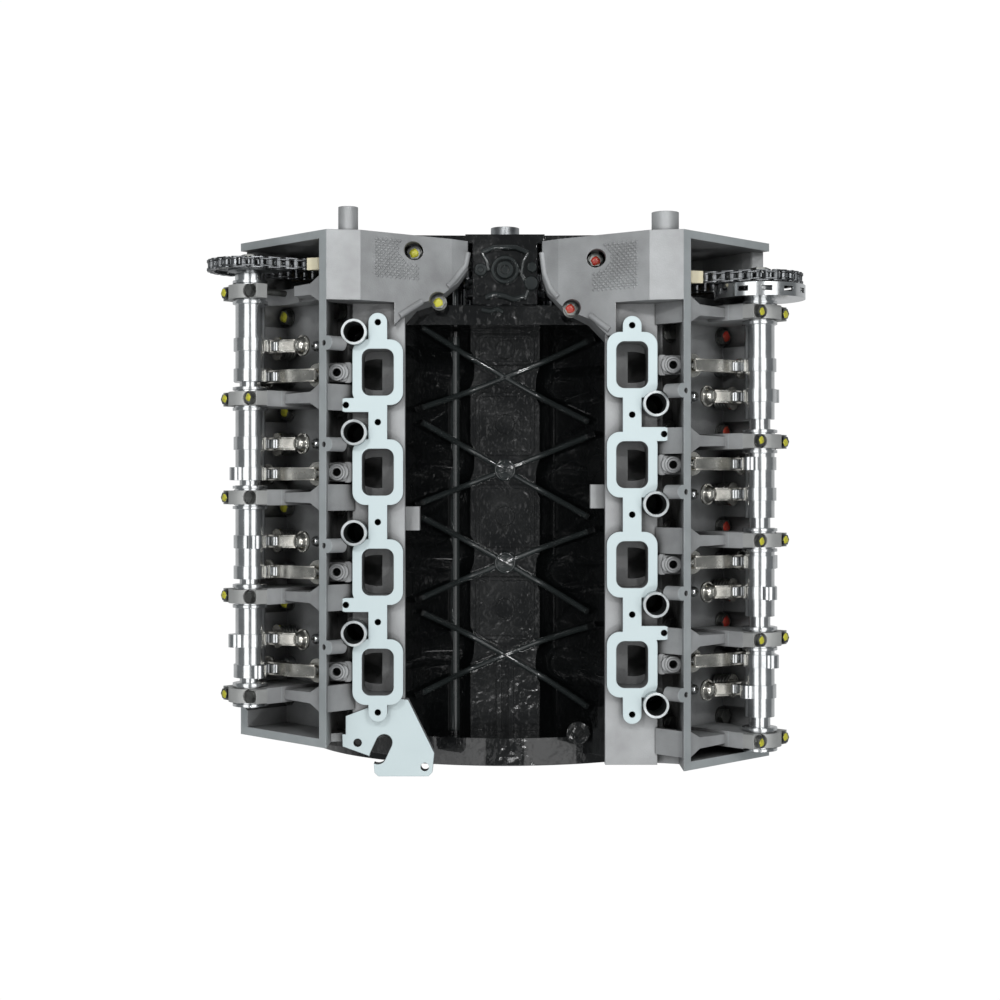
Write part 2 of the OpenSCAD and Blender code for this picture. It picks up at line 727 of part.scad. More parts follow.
module head_bores(side) {
    for (i = BORES) for (intake = [true, false])
        valve_axis(side, i, intake) {
            cylinder(r = stem_r + 0.3, h = 110);
        }
    for (i = BORES) {
        for (intake = [true, false]) adjuster_axis(side, i, intake)
            translate([0, 0, -24]) cylinder(r = adjuster_r + 0.3, h = 60);
        on_side(side) {
            translate([tube_x, plug_y(side, i), 185]) cylinder(r = tube_bore_r, h = 90);
            translate([tube_x, plug_y(side, i), 256]) cylinder(r = tube_r + 0.05, h = 60);
            translate([175, port_y(side, i), 262]) cylinder(r = 3.4, h = 40);
        }
    }
    for (y = head_bolt_ys(side)) for (u = BOLT_US)
        on_bank(side, u, y, deck_h - 1) cylinder(r = head_bolt_r + 0.4, h = floor_h - deck_h + 20);
    for (y = [60, 480]) on_bank(side, 57, y, deck_h - 1) cylinder(r = dowel_r, h = gasket_t + 9);
    for (y = head_bolt_ys(side))
        on_bank(side, BOLT_US[0], y, floor_h) cylinder(r = 12, h = 60);
    on_side(side) {
        for (y = flange_bolt_ys(side))
            translate([flange_x, y, flange_z - 30]) cylinder(r = flange_bolt_r, h = 40);
        for (y = tab_ys(side))
            translate([flange_x + 34, y, flange_z - 30]) cylinder(r = flange_bolt_r, h = 40);
    }
    for (p = FRONT_BOLTS) on_side(side) translate([p[0], front_bolt_y(side, p), 180])
        cylinder(r = 4.4, h = 120);
    for (p = FRONT_BOLTS) on_side(side) translate([p[0], front_bolt_y(side, p), p[2]])
        cylinder(r = 10, h = 60);
    rail_bolts(side) translate([0, 0, -20]) cylinder(r = 3, h = 30);
}

module rail_bolts(side) {
    for (i = BORES) bank(side) translate([rail_in + 4, bore_y(side, i) - side * 14, rail_h])
        children();
}

// Front bolts through the chest lobe into the block: X, distance behind the joint, seat height
FRONT_BOLTS = [[98, 17, 252], [72, 69, 238]];
function front_bolt_y(side, p) = chest_y - p[1] - (side > 0 ? 8 : 0);
stem_r = 3.5;
adjuster_r = 8;

// Post inside the right chest, webbed to its front wall, that the outer front bolt seats on
module front_post() {
    x = FRONT_BOLTS[0][0];
    y = front_bolt_y(1, FRONT_BOLTS[0]);
    foot = 222;
    translate([x, y, foot]) cylinder(r = 9, h = FRONT_BOLTS[0][2] - foot);
    translate([x - 4, y, foot]) cube([8, chest_y - 2 - y, FRONT_BOLTS[0][2] - foot]);
}

module adjuster_axis(side, i, intake) {
    y = intake ? intake_y(side, i) : exhaust_y(side, i);
    bank(side) translate([intake ? 37 : -27, y, floor_h - 2]) children();
}

module towers(side) {
    bank(side) for (y = cap_ys(side)) {
        translate([cam_u - 30, y - tower_w / 2, floor_h - 4])
            cube([60, tower_w, cam_h - floor_h + 4]);
        // Web that flares towards the inner rail
        translate([0, y, floor_h + 8]) linear_extrude(rail_h - floor_h - 12)
            polygon([[chamber_in - 2, -14], [chamber_in + 4, -14], [-60, -6], [cam_u - 29, -5],
                [cam_u - 29, 5], [-60, 6], [chamber_in + 4, 14], [chamber_in - 2, 14]]);
    }
}

// Bumps of the valve cover rail round its screw holes
module rail_bumps(side) {
    bank(side) for (i = BORES) difference() {
        translate([rail_in - 2, bore_y(side, i) - side * 14, rail_h - 20]) cylinder(r = 7.5, h = 20);
        translate([chamber_in, 0, rail_h - 30]) cube([40, far, 60]);
    }
}

module head_left() color("#9aa0a3") head(-1);
module head_right() color("#9aa0a3") head(1);

gasket_air = 0.02;
module head_gaskets() color("#6b7075") {
    for (side = SIDES) difference() {
        bank(side) translate([-64, back_y(side), deck_h + gasket_air])
            cube([128, block_l - back_y(side), gasket_t - 2 * gasket_air]);
        for (i = BORES) bank(side) translate([0, bore_y(side, i), deck_h - 1])
            cylinder(r = bore_r + 1, h = 4);
        for (y = head_bolt_ys(side)) for (u = BOLT_US)
            on_bank(side, u, y, deck_h - 1) cylinder(r = head_bolt_r + 0.4, h = 4);
        for (y = [60, 480]) on_bank(side, 57, y, deck_h - 1) cylinder(r = dowel_r, h = 4);
    }
}

module head_bolts() color("#c3c6c9") {
    for (side = SIDES) for (y = head_bolt_ys(side)) for (u = BOLT_US)
        on_bank(side, u, y, floor_h) hex_bolt(head_bolt_r, floor_h - deck_h + 50, 8);
}

module front_head_bolts() color("#b9bcc0") {
    for (side = SIDES) for (p = FRONT_BOLTS)
        on_side(side) translate([p[0], front_bolt_y(side, p), p[2]]) {
            hex_bolt(4, 26, 6.5);
        }
}

module spark_plug_tubes() color("#aeb4b6") {
    for (side = SIDES) for (i = BORES) on_side(side)
        translate([tube_x, plug_y(side, i), 256]) difference() {
            cylinder(r = tube_r, h = 46);
            translate([0, 0, -1]) cylinder(r = tube_bore_r, h = 50);
        }
}

valve_seat_h = 9;
valve_l = tip_h - head_h - valve_seat_h;

module valve(head_r, length) {
    rotate_extrude() polygon([[0, -4], [head_r, -4], [head_r, -1.5], [head_r - 3, 1.5],
        [stem_r + 3, 8], [stem_r, 18], [stem_r, length], [0, length]]);
}

function valve_length(foot, tip) = norm([tip - foot, valve_l]);

module intake_valves() color("#8d9194") {
    for (side = SIDES) for (i = BORES)
        valve_axis(side, i, true) valve(21 - 3, valve_length(IN_HEAD, IN_TIP));
}

module exhaust_valves() color("#77706a") {
    for (side = SIDES) for (i = BORES)
        valve_axis(side, i, false) valve(14.5, valve_length(EX_HEAD, EX_TIP));
}

spring_r = 12;
spring_base = floor_h - head_h - valve_seat_h + 5;
retainer_at = valve_length(EX_HEAD, EX_TIP) - 7;

module valve_springs() color("#6e7275") {
    turns = 5;
    wire = 1.9;
    gap = (retainer_at - spring_base - 2 * wire) / (turns - 1);
    for (side = SIDES) for (i = BORES) for (intake = [true, false]) valve_axis(side, i, intake)
        difference() {
            union() {
                translate([0, 0, spring_base]) cylinder(r = spring_r - 0.6, h = retainer_at - spring_base);
                for (n = [0:turns - 1]) translate([0, 0, spring_base + n * gap])
                    cylinder(r = spring_r + 0.8, h = 2 * wire);
            }
            cylinder(r = spring_r - 3.2, h = 200);
        }
}

module spring_retainers() color("#c5c9cc") {
    for (side = SIDES) for (i = BORES) for (intake = [true, false]) valve_axis(side, i, intake)
        translate([0, 0, retainer_at]) difference() {
            union() {
                cylinder(r = spring_r + 1, h = 2.5);
                cylinder(r1 = spring_r - 3.5, r2 = 7, h = 5);
            }
            translate([0, 0, -1]) cylinder(r = stem_r, h = 10);
        }
}

adjuster_l = 36;
module lash_adjusters() color("#d6d9db") {
    for (side = SIDES) for (i = BORES) for (intake = [true, false]) adjuster_axis(side, i, intake)
        translate([0, 0, -24]) {
            cylinder(r = adjuster_r, h = adjuster_l);
            cylinder(r = adjuster_r - 2, h = adjuster_l + 6);
            translate([0, 0, adjuster_l + 6]) sphere(r = adjuster_r - 2.2);
        }
}

nose_r = lobe_d / 2 + lobe_lift;
roller_gap = 0.4;
roller_h = cam_h - nose_r - roller_gap - roller_d / 2;
rocker_w = 14;

// A stamped follower: cup on the adjuster, cheeks beside the roller, pad on the valve
module rocker(cup_u, tip_u) {
    cup_h = floor_h + adjuster_l - 14;
    pad_h = tip_h + 1.2;
    low = min(cup_u, tip_u);
    difference() {
        union() {
            along_y(-rocker_w / 2, rocker_w / 2) polygon([[cup_u, cup_h - 6],
                [cam_u - sign(cam_u - cup_u) * 8,
                roller_h - 7], [cam_u + sign(cam_u - cup_u) * 8, roller_h - 7], [tip_u, pad_h],
                [tip_u + sign(tip_u - cam_u) * 5, pad_h], [tip_u + sign(tip_u - cam_u) * 5, pad_h + 6],
                [cam_u + sign(cam_u - cup_u) * 9, roller_h + 5],
                [cam_u - sign(cam_u - cup_u) * 9, roller_h + 5],
                [cup_u, cup_h + 7]]);
            translate([cup_u, 0, cup_h - 6]) cylinder(r = 8.5, h = 15);
        }
        translate([cam_u - roller_d / 2 - 3, -5, roller_h - 20]) cube([roller_d + 6, 10, 40]);
        translate([cup_u, 0, cup_h - 20]) cylinder(r = adjuster_r - 1.4, h = 20);
        translate([cup_u, 0, cup_h - 2]) sphere(r = adjuster_r - 1.9);
        translate([cam_u, 0, roller_h]) rod_along_y(3, -20, 20);
    }
}

module intake_rockers() color("#a9adb0") {
    for (side = SIDES) for (i = BORES) bank(side) translate([0, intake_y(side, i), 0])
        rocker(37, IN_TIP);
}

module exhaust_rockers() color("#a2a6a9") {
    for (side = SIDES) for (i = BORES) bank(side) translate([0, exhaust_y(side, i), 0])
        rocker(-27, EX_TIP);
}

module rocker_rollers() color("#e3e5e7") {
    for (side = SIDES) for (i = BORES) for (y = [intake_y(side, i), exhaust_y(side, i)])
        bank(side) translate([cam_u, y, roller_h]) {
            rod_along_y(roller_d / 2, -4.6, 4.6);
            rod_along_y(2.95, -rocker_w / 2, rocker_w / 2);
        }
}

// Firing order angles of the lobes, in cam degrees, from the rear
INTAKE_AT = [40, 130, 310, 220];
EXHAUST_AT = [300, 30, 210, 120];

module lobe(y, a) {
    nose = 9;
    translate([0, y, 0]) rotate([0, a, 0]) along_y(-lobe_w / 2, lobe_w / 2) {
        circle(r = lobe_d / 2);
        translate([0, nose_r - nose]) circle(r = nose);
        polygon([[-lobe_d / 2 + 0.6, 4], [lobe_d / 2 - 0.6, 4], [nose - 0.3, nose_r - nose + 1.5],
            [0.3 - nose, nose_r - nose + 1.5]]);
    }
}

function chain_y(side) = side > 0 ? right_chain_y : left_chain_y;

module at_cam(side) {
    translate([side * (cam_h + cam_u) * half, 0, (cam_h - cam_u) * half]) children();
}

journal_l = 26;
neck_r = 11.5;
neck_l = 24;
module camshaft(side) {
    start = cap_ys(side)[0] - 14;
    finish = chain_y(side) - 8;
    at_cam(side) difference() {
        union() {
            rod_along_y(neck_r, start, finish);
            rod_along_y(cam_d / 2, cap_ys(side)[4], finish);
            for (k = BORES) rod_along_y(cam_tube_d / 2, cap_ys(side)[k] + neck_l, cap_ys(side)[k + 1]);
            for (y = cap_ys(side)) {
                rod_along_y(cam_d / 2, y - journal_l / 2, y + journal_l / 2);
                for (end = SIDES) rod_along_y(cam_d / 2 + 2.5, y + end * (tower_w / 2 + 2.5) - 1.5,
                    y + end * (tower_w / 2 + 2.5) + 1.5);
            }
            for (i = BORES) {
                lobe(intake_y(side, i), INTAKE_AT[i]);
                lobe(exhaust_y(side, i), EXHAUST_AT[i]);
            }
            rod_along_y(11, finish, finish + 12);
        }
        rod_along_y(8, start - 1, finish - 30);
        rod_along_y(5.1, finish - 28, finish + 20);
    }
}

module camshaft_left() color("#c9ccce") camshaft(-1);
module camshaft_right() color("#c9ccce") camshaft(1);

module cam_caps(side) {
    cap_r = cam_d / 2 + 7;
    for (y = cap_ys(side)) bank(side) difference() {
        intersection() {
            union() {
                translate([cam_u, 0, cam_h]) rod_along_y(cap_r, y - cap_w / 2, y + cap_w / 2);
                translate([cam_u - 30, y - cap_w / 2, cam_h]) cube([60, cap_w, 14]);
            }
            translate([cam_u - 30, y - cap_w, cam_h]) cube([60, 2 * cap_w, 60]);
        }
        translate([cam_u, 0, cam_h]) rod_along_y(cam_d / 2 + cam_gap, y - 20, y + 20);
        for (u = cam_bolt_us) translate([u, y, cam_h - 2]) cylinder(r = cam_bolt_r + 0.3, h = 40);
        for (u = cam_bolt_us) translate([u, y, cam_h + 14]) cylinder(r = 9, h = 40);
    }
}

module cam_caps_left() color("#a4a9ab") cam_caps(-1);
module cam_caps_right() color("#a4a9ab") cam_caps(1);

module cam_cap_bolts() color("#8a8d74") {
    for (side = SIDES) for (y = cap_ys(side)) for (u = cam_bolt_us)
        on_bank(side, u, y, cam_h + 14) hex_bolt(cam_bolt_r, 44, 5.4);
}

function pitch_r(teeth) = chain_pitch / (2 * sin(180 / teeth));

chain_roller_r = 3.1;
module sprocket(teeth, y, hub_r, bore, disc_w) {
    r = pitch_r(teeth);
    step = 360 / teeth;
    root = r - chain_roller_r - 0.35;
    tip = r + 2.2;
    difference() {
        union() {
            along_y(y - disc_w / 2, y + disc_w / 2) polygon([for (i = [0:teeth - 1])
                for (p = [[-0.28, root], [-0.07, tip], [0.07, tip], [0.28, root]])
                    [(p[1]) * sin((i + 0.5 + p[0]) * step), p[1] * cos((i + 0.5 + p[0]) * step)]]);
            rod_along_y(hub_r, y - disc_w / 2 - 3, y + disc_w / 2 + 3);
        }
        rod_along_y(bore, y - 40, y + 40);
    }
}

sprocket_w = 5;
module cam_sprocket(side) {
    y = chain_y(side);
    at_cam(side) difference() {
        sprocket(cam_teeth, y, 24, 11.04, sprocket_w);
        for (a = [30:60:359]) rotate([0, a, 0]) translate([0, 0, 30]) rod_along_y(5, y - 9, y + 9);
    }
}

module cam_sprocket_left() color("#8f9497") cam_sprocket(-1);
module cam_sprocket_right() color("#8f9497") cam_sprocket(1);

module cam_sprocket_bolt(side) {
    y = chain_y(side) + sprocket_w / 2 + 3;
    at_cam(side) translate([0, y, 0]) rotate([-90, 0, 0]) hex_bolt(5, 30, 9);
}

module cam_sprocket_bolts_left() color("#54585b") cam_sprocket_bolt(-1);
module cam_sprocket_bolts_right() color("#54585b") cam_sprocket_bolt(1);

module cam_target_wheel() color("#c6cacc") {
    target_r = 49;
    back = cap_ys(1)[4] + tower_w / 2 + 6;
    front = right_chain_y - sprocket_w / 2 - 5;
    at_cam(1) difference() {
        rod_along_y(target_r, back, front);
        rod_along_y(target_r - 3, back + 3, front + 1);
        rod_along_y(cam_d / 2 + cam_gap, back - 1, front + 1);
        for (a = [0:30:359]) rotate([0, a, 0]) translate([-6, back + 5, target_r - 6])
            cube([12, front - back - 9, 12]);
    }
}

idler_bore = 15;
module idler_sprocket() color("#8f9497") {
    translate([0, 0, idler_z]) difference() {
        union() {
            sprocket(2 * crank_teeth, primary_y, 24, idler_bore, sprocket_w);
            sprocket(cam_teeth, left_chain_y, 30, idler_bore, sprocket_w);
            sprocket(cam_teeth, right_chain_y, 30, idler_bore, sprocket_w);
            rod_along_y(24, right_chain_y, primary_y);
        }
        rod_along_y(idler_bore, right_chain_y - 20, primary_y + 20);
    }
}

module idler_shaft() color("#b5b9bc") {
    translate([0, 0, idler_z]) {
        rod_along_y(idler_bore - oil_gap, block_l, primary_y + 8);
        rod_along_y(idler_bore + 9, block_l, right_chain_y - sprocket_w / 2 - 3.4);
        rod_along_y(idler_bore + 6, primary_y + sprocket_w / 2 + 3.4, primary_y + 9);
    }
}

module crank_sprocket() color("#7e8386") {
    difference() {
        sprocket(crank_teeth, primary_y, 23, 18.02, sprocket_w);
        translate([-2.6, primary_y - 20, 14]) cube([5.2, 40, 6.6]);
    }
    difference() {
        rod_along_y(23, block_l + 8, primary_y - sprocket_w / 2 - 3);
        rod_along_y(18.02, block_l, primary_y);
        translate([-2.6, block_l, 14]) cube([5.2, 60, 6.6]);
    }
}

cam_x = (cam_h + cam_u) * half;
cam_z = (cam_h - cam_u) * half;
plate_h = 4.1;

// Outline of a chain round two sprockets at X, Z, radius; grown by a distance
function tangent_angle(a, b) = let (d = [b[0] - a[0], b[1] - a[1]])
    [atan2(d[1], d[0]), acos((a[2] - b[2]) / norm(d))];
function loop_points(a, b, grow) = let (t = tangent_angle(a, b), n = 14)
    concat(
        [for (k = [0:n]) let (w = t[0] + t[1] + (360 - 2 * t[1]) * k / n)
            [a[0] + (a[2] + grow) * cos(w), a[1] + (a[2] + grow) * sin(w)]],
        [for (k = [0:n]) let (w = t[0] - t[1] + 2 * t[1] * k / n)
            [b[0] + (b[2] + grow) * cos(w), b[1] + (b[2] + grow) * sin(w)]]);

PRIMARY = [[0, 0, pitch_r(crank_teeth)], [0, idler_z, pitch_r(2 * crank_teeth)]];
function secondary(side) = [[0, idler_z, pitch_r(cam_teeth)], [side * cam_x, cam_z, pitch_r(cam_teeth)]];

// A roller chain: outer and inner plates each side of the sprocket, pins across on the straight runs
module chain(ends, y) {
    for (s = SIDES) {
        mid = y + s * (sprocket_w / 2 + 2.2);
        difference() {
            along_y(mid - 1.6, mid + 1.6) polygon(loop_points(ends[0], ends[1], plate_h));
            along_y(mid - 3, mid + 3) polygon(loop_points(ends[0], ends[1], -plate_h));
        }
    }
    t = tangent_angle(ends[0], ends[1]);
    run = norm([ends[1][0] - ends[0][0], ends[1][1] - ends[0][1]]);
    links = floor(run / chain_pitch);
    for (s = SIDES) for (k = [3:links - 3]) {
        w = t[0] + s * t[1];
        p = [for (j = [0, 1]) let (f = k / links, c = j == 0 ? cos(w) : sin(w))
            (ends[0][j] + ends[0][2] * c) * (1 - f) + (ends[1][j] + ends[1][2] * c) * f];
        translate([p[0], 0, p[1]])
            rod_along_y(chain_roller_r, y - sprocket_w / 2 - 0.6, y + sprocket_w / 2 + 0.6);
    }
}

module primary_chain() color("#5f6366") chain(PRIMARY, primary_y);
module left_chain() color("#5f6366") chain(secondary(-1), left_chain_y);
module right_chain() color("#5f6366") chain(secondary(1), right_chain_y);

// Points beside a straight run of a chain: side +1 or -1, share of the run, distance outwards
function beside(ends, s, f, away) = let (t = tangent_angle(ends[0], ends[1]), w = t[0] + s * t[1])
    [for (j = [0, 1]) let (c = j == 0 ? cos(w) : sin(w))
        (ends[0][j] + (ends[0][2] + away) * c) * (1 - f) + (ends[1][j] + (ends[1][2] + away) * c) * f];

guide_gap = 0.5;
guide_w = 13;
module guide_bar(ends, s, from, to, y, thick) {
    near = plate_h + guide_gap;
    along_y(y - guide_w / 2, y + guide_w / 2) polygon([beside(ends, s, from, near),
        beside(ends, s, to, near), beside(ends, s, to - 0.03, near + thick * 0.7),
        beside(ends, s, (from + to) / 2, near + thick), beside(ends, s, from + 0.03, near + thick * 0.7)]);
}

PIVOT_AT = 0.3;
module pivot_hole(ends, s, f, y, r) {
    p = beside(ends, s, f, plate_h + guide_gap + 7);
    translate([p[0], 0, p[1]]) rod_along_y(r, y - 30, y + 30);
}

// Fixed guides run on the pulling side of each chain, tensioner arms on the slack side
function guide_side(side) = side > 0 ? 1 : 1;
module chain_guides() color("#ddd3b4") {
    for (side = SIDES) {
        s = side > 0 ? 1 : -1;
        difference() {
            guide_bar(secondary(side), s, 0.33, 0.84, chain_y(side), 13);
            for (f = GUIDE_PINS) pivot_hole(secondary(side), s, f, chain_y(side), pivot_r + 0.05);
        }
    }
    difference() {
        guide_bar(PRIMARY, 1, 0.1, 0.9, primary_y, 12);
        for (f = [0.3, 0.7]) pivot_hole(PRIMARY, 1, f, primary_y, pivot_r + 0.05);
    }
}

GUIDE_PINS = [0.4, 0.7];
pivot_r = 4;
module tensioner_arms() color("#4a4438") {
    for (side = SIDES) {
        s = side > 0 ? -1 : 1;
        difference() {
            guide_bar(secondary(side), s, 0.24, 0.8, chain_y(side), 14);
            pivot_hole(secondary(side), s, 0.5, chain_y(side), pivot_r + 0.05);
        }
    }
    difference() {
        guide_bar(PRIMARY, -1, 0.1, 0.9, primary_y, 12);
        pivot_hole(PRIMARY, -1, 0.5, primary_y, pivot_r + 0.05);
    }
}

module pivot_pin(ends, s, f, y, from = block_l) {
    p = beside(ends, s, f, plate_h + guide_gap + 7);
    translate([p[0], 0, p[1]]) {
        rod_along_y(pivot_r, from, y + guide_w / 2 + 1);
        rod_along_y(pivot_r + 2.5, from, y - guide_w / 2 - 0.4);
        rod_along_y(pivot_r + 2.5, y + guide_w / 2 + 0.5, y + guide_w / 2 + 4);
    }
}

module guide_pivots() color("#b9bdc0") {
    for (side = SIDES) {
        s = side > 0 ? 1 : -1;
        pivot_pin(secondary(side), s, GUIDE_PINS[0], chain_y(side), block_l + 7);
        pivot_pin(secondary(side), -s, 0.5, chain_y(side));
    }
    for (f = [0.3, 0.7]) pivot_pin(PRIMARY, 1, f, primary_y);
    pivot_pin(PRIMARY, -1, 0.5, primary_y);
}

module chain_tensioners() color("#8b9093") {
    for (side = SIDES) {
        s = side > 0 ? -1 : 1;
        p = beside(secondary(side), s, 0.55, plate_h + guide_gap + 14.5);
        a = tangent_angle(secondary(side)[0], secondary(side)[1]);
        translate([p[0], chain_y(side), p[1]]) rotate([0, 90 - (a[0] + s * a[1]), 0]) {
            cylinder(r = 5, h = 14);
            translate([-9, -8, 8]) cube([18, 16, 16]);
            translate([0, -(chain_y(side) - block_l), 16]) rotate([-90, 0, 0])
                cylinder(r = 6, h = chain_y(side) - block_l - 7);
        }
    }
}

cover_t = 14;
cover_wall = 8;
cover_l = chest_y + cover_t;
seal_r = 30;

function cover_half(inset) = let (top = (deck_h + deck_w / 2) * half, out = (deck_h - deck_w / 2) * half)
    [[0, 212 - inset * 0.9], [44 - inset, 212 - inset * 0.9], [44 - inset, 203 + inset * 2],
     [122 - inset, top - 3 + inset * 2], [top - 3 + inset, out + inset * 0.4], [skirt_w - inset * 0.4, 34],
     [skirt_w - inset, inset - bedplate_h]];

module timing_cover() color("#121315") {
    difference() {
        union() {
            along_y(block_l + seat, chest_y) difference() {
                whole_outline(cover_half(0));
                whole_outline(cover_half(cover_wall));
            }
            along_y(chest_y, cover_l - 4) whole_outline(cover_half(0));
            rod_along_y(seal_r + 10, chest_y, cover_l + 6);
            translate([0, 0, idler_z]) rod_along_y(34, chest_y, cover_l);
            for (x = [-70, 70]) for (z = [-20, 70]) translate([x, 0, z])
                rod_along_y(13, chest_y, cover_l + 2);
            translate([0, chest_y - 30, 200]) cylinder(r = 15, h = 18);
            for (x = SIDES) translate([x * 27, chest_y - 52, 196]) cylinder(r = 7, h = 20);
            for (p = COVER_BOLTS) for (side = SIDES) translate([side * p[0], 0, p[1]])
                rod_along_y(9, block_l + seat, cover_l);
        }
        bank(1) translate([-70, 0, deck_h + 0]) cube([200, far, 300]);
        bank(-1) translate([-70, 0, deck_h + 0]) cube([200, far, 300]);
        translate([-far / 2, 0, -far - bedplate_h]) cube([far, far, far]);
        rod_along_y(seal_r, block_l, cover_l + 10);
        translate([0, chest_y - 30, 214]) cylinder(r = 11, h = 10);
        for (p = COVER_BOLTS) for (side = SIDES) translate([side * p[0], 0, p[1]])
            rod_along_y(4.3, block_l, cover_l + 10);
    }
}

COVER_BOLTS = [[112, -48], [112, 10], [150, 88]];
module timing_cover_bolts() color("#2b2d2f") {
    for (p = COVER_BOLTS) for (side = SIDES) translate([side * p[0], cover_l, p[1]])
        rotate([-90, 0, 0]) hex_bolt(4, cover_l - block_l, 6.5);
}

module front_crank_seal() color("#2a2422") {
    difference() {
        rod_along_y(seal_r, chest_y + 1, cover_l + 5);
        rod_along_y(18.4, block_l, cover_l + 10);
    }
}

module rear_seal_carrier() color("#26282a") {
    difference() {
        rod_along_y(45.9, 17, 30);
        rod_along_y(main_r + 0.4, 0, 40);
    }
}

module oil_pump() color("#8c9194") {
    difference() {
        rod_along_y(44, block_l, block_l + 7);
        rod_along_y(19, block_l, block_l + 20);
    }
}

module pan_profile(inset, floor_t) {
    right = [[skirt_w - inset, -bedplate_h], [skirt_w - 10 - inset, -pan_depth + 22],
        [skirt_w - 24 - inset, floor_t - pan_depth]];
    polygon(concat(right, [for (k = [2:-1:0]) [-right[k][0], right[k][1]]]));
}

// Side view of the pan: a deep sump at the rear and middle, shallow at the front
module pan_side(inset) {
    translate([-far / 2, 0, 0]) rotate([90, 0, 90]) linear_extrude(far) polygon([
        [16 + inset, 10 - bedplate_h], [16 + inset, -100], [60 + inset, inset - pan_depth],
        [430 - inset, inset - pan_depth], [470 - inset, inset - 118], [594 - inset, inset - 112],
        [594 - inset, 10 - bedplate_h]]);
}

pan_inset = 14;
module oil_pan() color("#151618") {
    flange_t = 5;
    difference() {
        union() {
            intersection() {
                along_y(12, 600) pan_profile(pan_inset, 0);
                pan_side(0);
            }
            translate([-skirt_w, 12, -bedplate_h - flange_t]) cube([2 * skirt_w, cover_l - 16, flange_t]);
            translate([0, 440, -pan_depth + 30]) rod_along_y(14, 0, 14);
        }
        intersection() {
            along_y(0, 620) pan_profile(pan_inset + pan_t, pan_t);
            pan_side(pan_t);
        }
        translate([pan_inset + pan_t - skirt_w, 24, -bedplate_h - 8])
            cube([2 * (skirt_w - pan_inset - pan_t), cover_l - 40, 9]);
        for (p = PAN_BOLTS) translate([p[0], p[1], -bedplate_h - 10]) cylinder(r = 3.3, h = 12);
        translate([0, 62, 40 - pan_depth]) rod_along_y(9, -40, 40);
    }
}

PAN_BOLTS = [for (s = SIDES) for (k = [0:6]) [s * (skirt_w - 6.5), 40 + k * 75]];
module oil_pan_bolts() color("#2c2e30") {
    for (p = PAN_BOLTS) translate([p[0], p[1], -bedplate_h - 5.01]) mirror([0, 0, 1]) hex_bolt(3, 5, 4);
}

module drain_plug() color("#3a3c3f") {
    translate([0, 60, 40 - pan_depth]) {
        rod_along_y(8.9, -35, 12);
    }
}

pickup_y = 488;
pickup_r = 7.5;
module windage_tray() color("#5a5e61") {
    difference() {
        translate([-95, 40, -96]) cube([190, 462, 2]);
        for (i = BORES) for (x = [-50, 0, 50])
            translate([x - 16, throw_y(i) - 30, -98]) cube([32, 40, 6]);
        translate([0, pickup_y, -100]) cylinder(r = pickup_r + 1, h = 10);
    }
    for (i = [0, 4]) for (x = [-72, 72])
        translate([x, main_y(i), -95]) cylinder(r = 8, h = 95 - bedplate_h);
}

module oil_pickup() color("#6a6e71") {
    pick_z = 14 - pan_depth;
    pipe_z = -106;
    translate([0, 300, pick_z]) cylinder(r = 28, h = 10);
    translate([0, 300, pick_z + 10]) cylinder(r = 9, h = pipe_z - pick_z - 10);
    translate([0, 0, pipe_z]) rod_along_y(pickup_r, 300, pickup_y);
    translate([0, pickup_y, pipe_z]) cylinder(r = pickup_r, h = -bedplate_h - pipe_z);
}

cylinder_block();
bedplate();
bedplate_bolts();
main_bearings();
crankshaft();
crank_sprocket();
crank_key();
connecting_rods();
pistons();
piston_rings();
wrist_pins();
head_gaskets();
head_left();
head_right();
head_bolts();
front_head_bolts();
intake_valves();
exhaust_valves();
valve_springs();
spring_retainers();
lash_adjusters();
intake_rockers();
exhaust_rockers();
rocker_rollers();
camshaft_left();
camshaft_right();
cam_caps_left();
cam_caps_right();
cam_cap_bolts();
cam_sprocket_left();
cam_sprocket_right();
cam_target_wheel();
cam_sprocket_bolts_left();
cam_sprocket_bolts_right();
idler_sprocket();
idler_shaft();
primary_chain();
left_chain();
right_chain();
chain_guides();
tensioner_arms();
guide_pivots();
chain_tensioners();
spark_plug_tubes();
timing_cover();
timing_cover_bolts();
front_crank_seal();
rear_seal_carrier();
oil_pump();
oil_pickup();
windage_tray();
oil_pan();
oil_pan_bolts();
drain_plug();
core_plugs();
locating_dowels();
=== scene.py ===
import math
import random

import bmesh
import bpy
from mathutils import Matrix, Vector


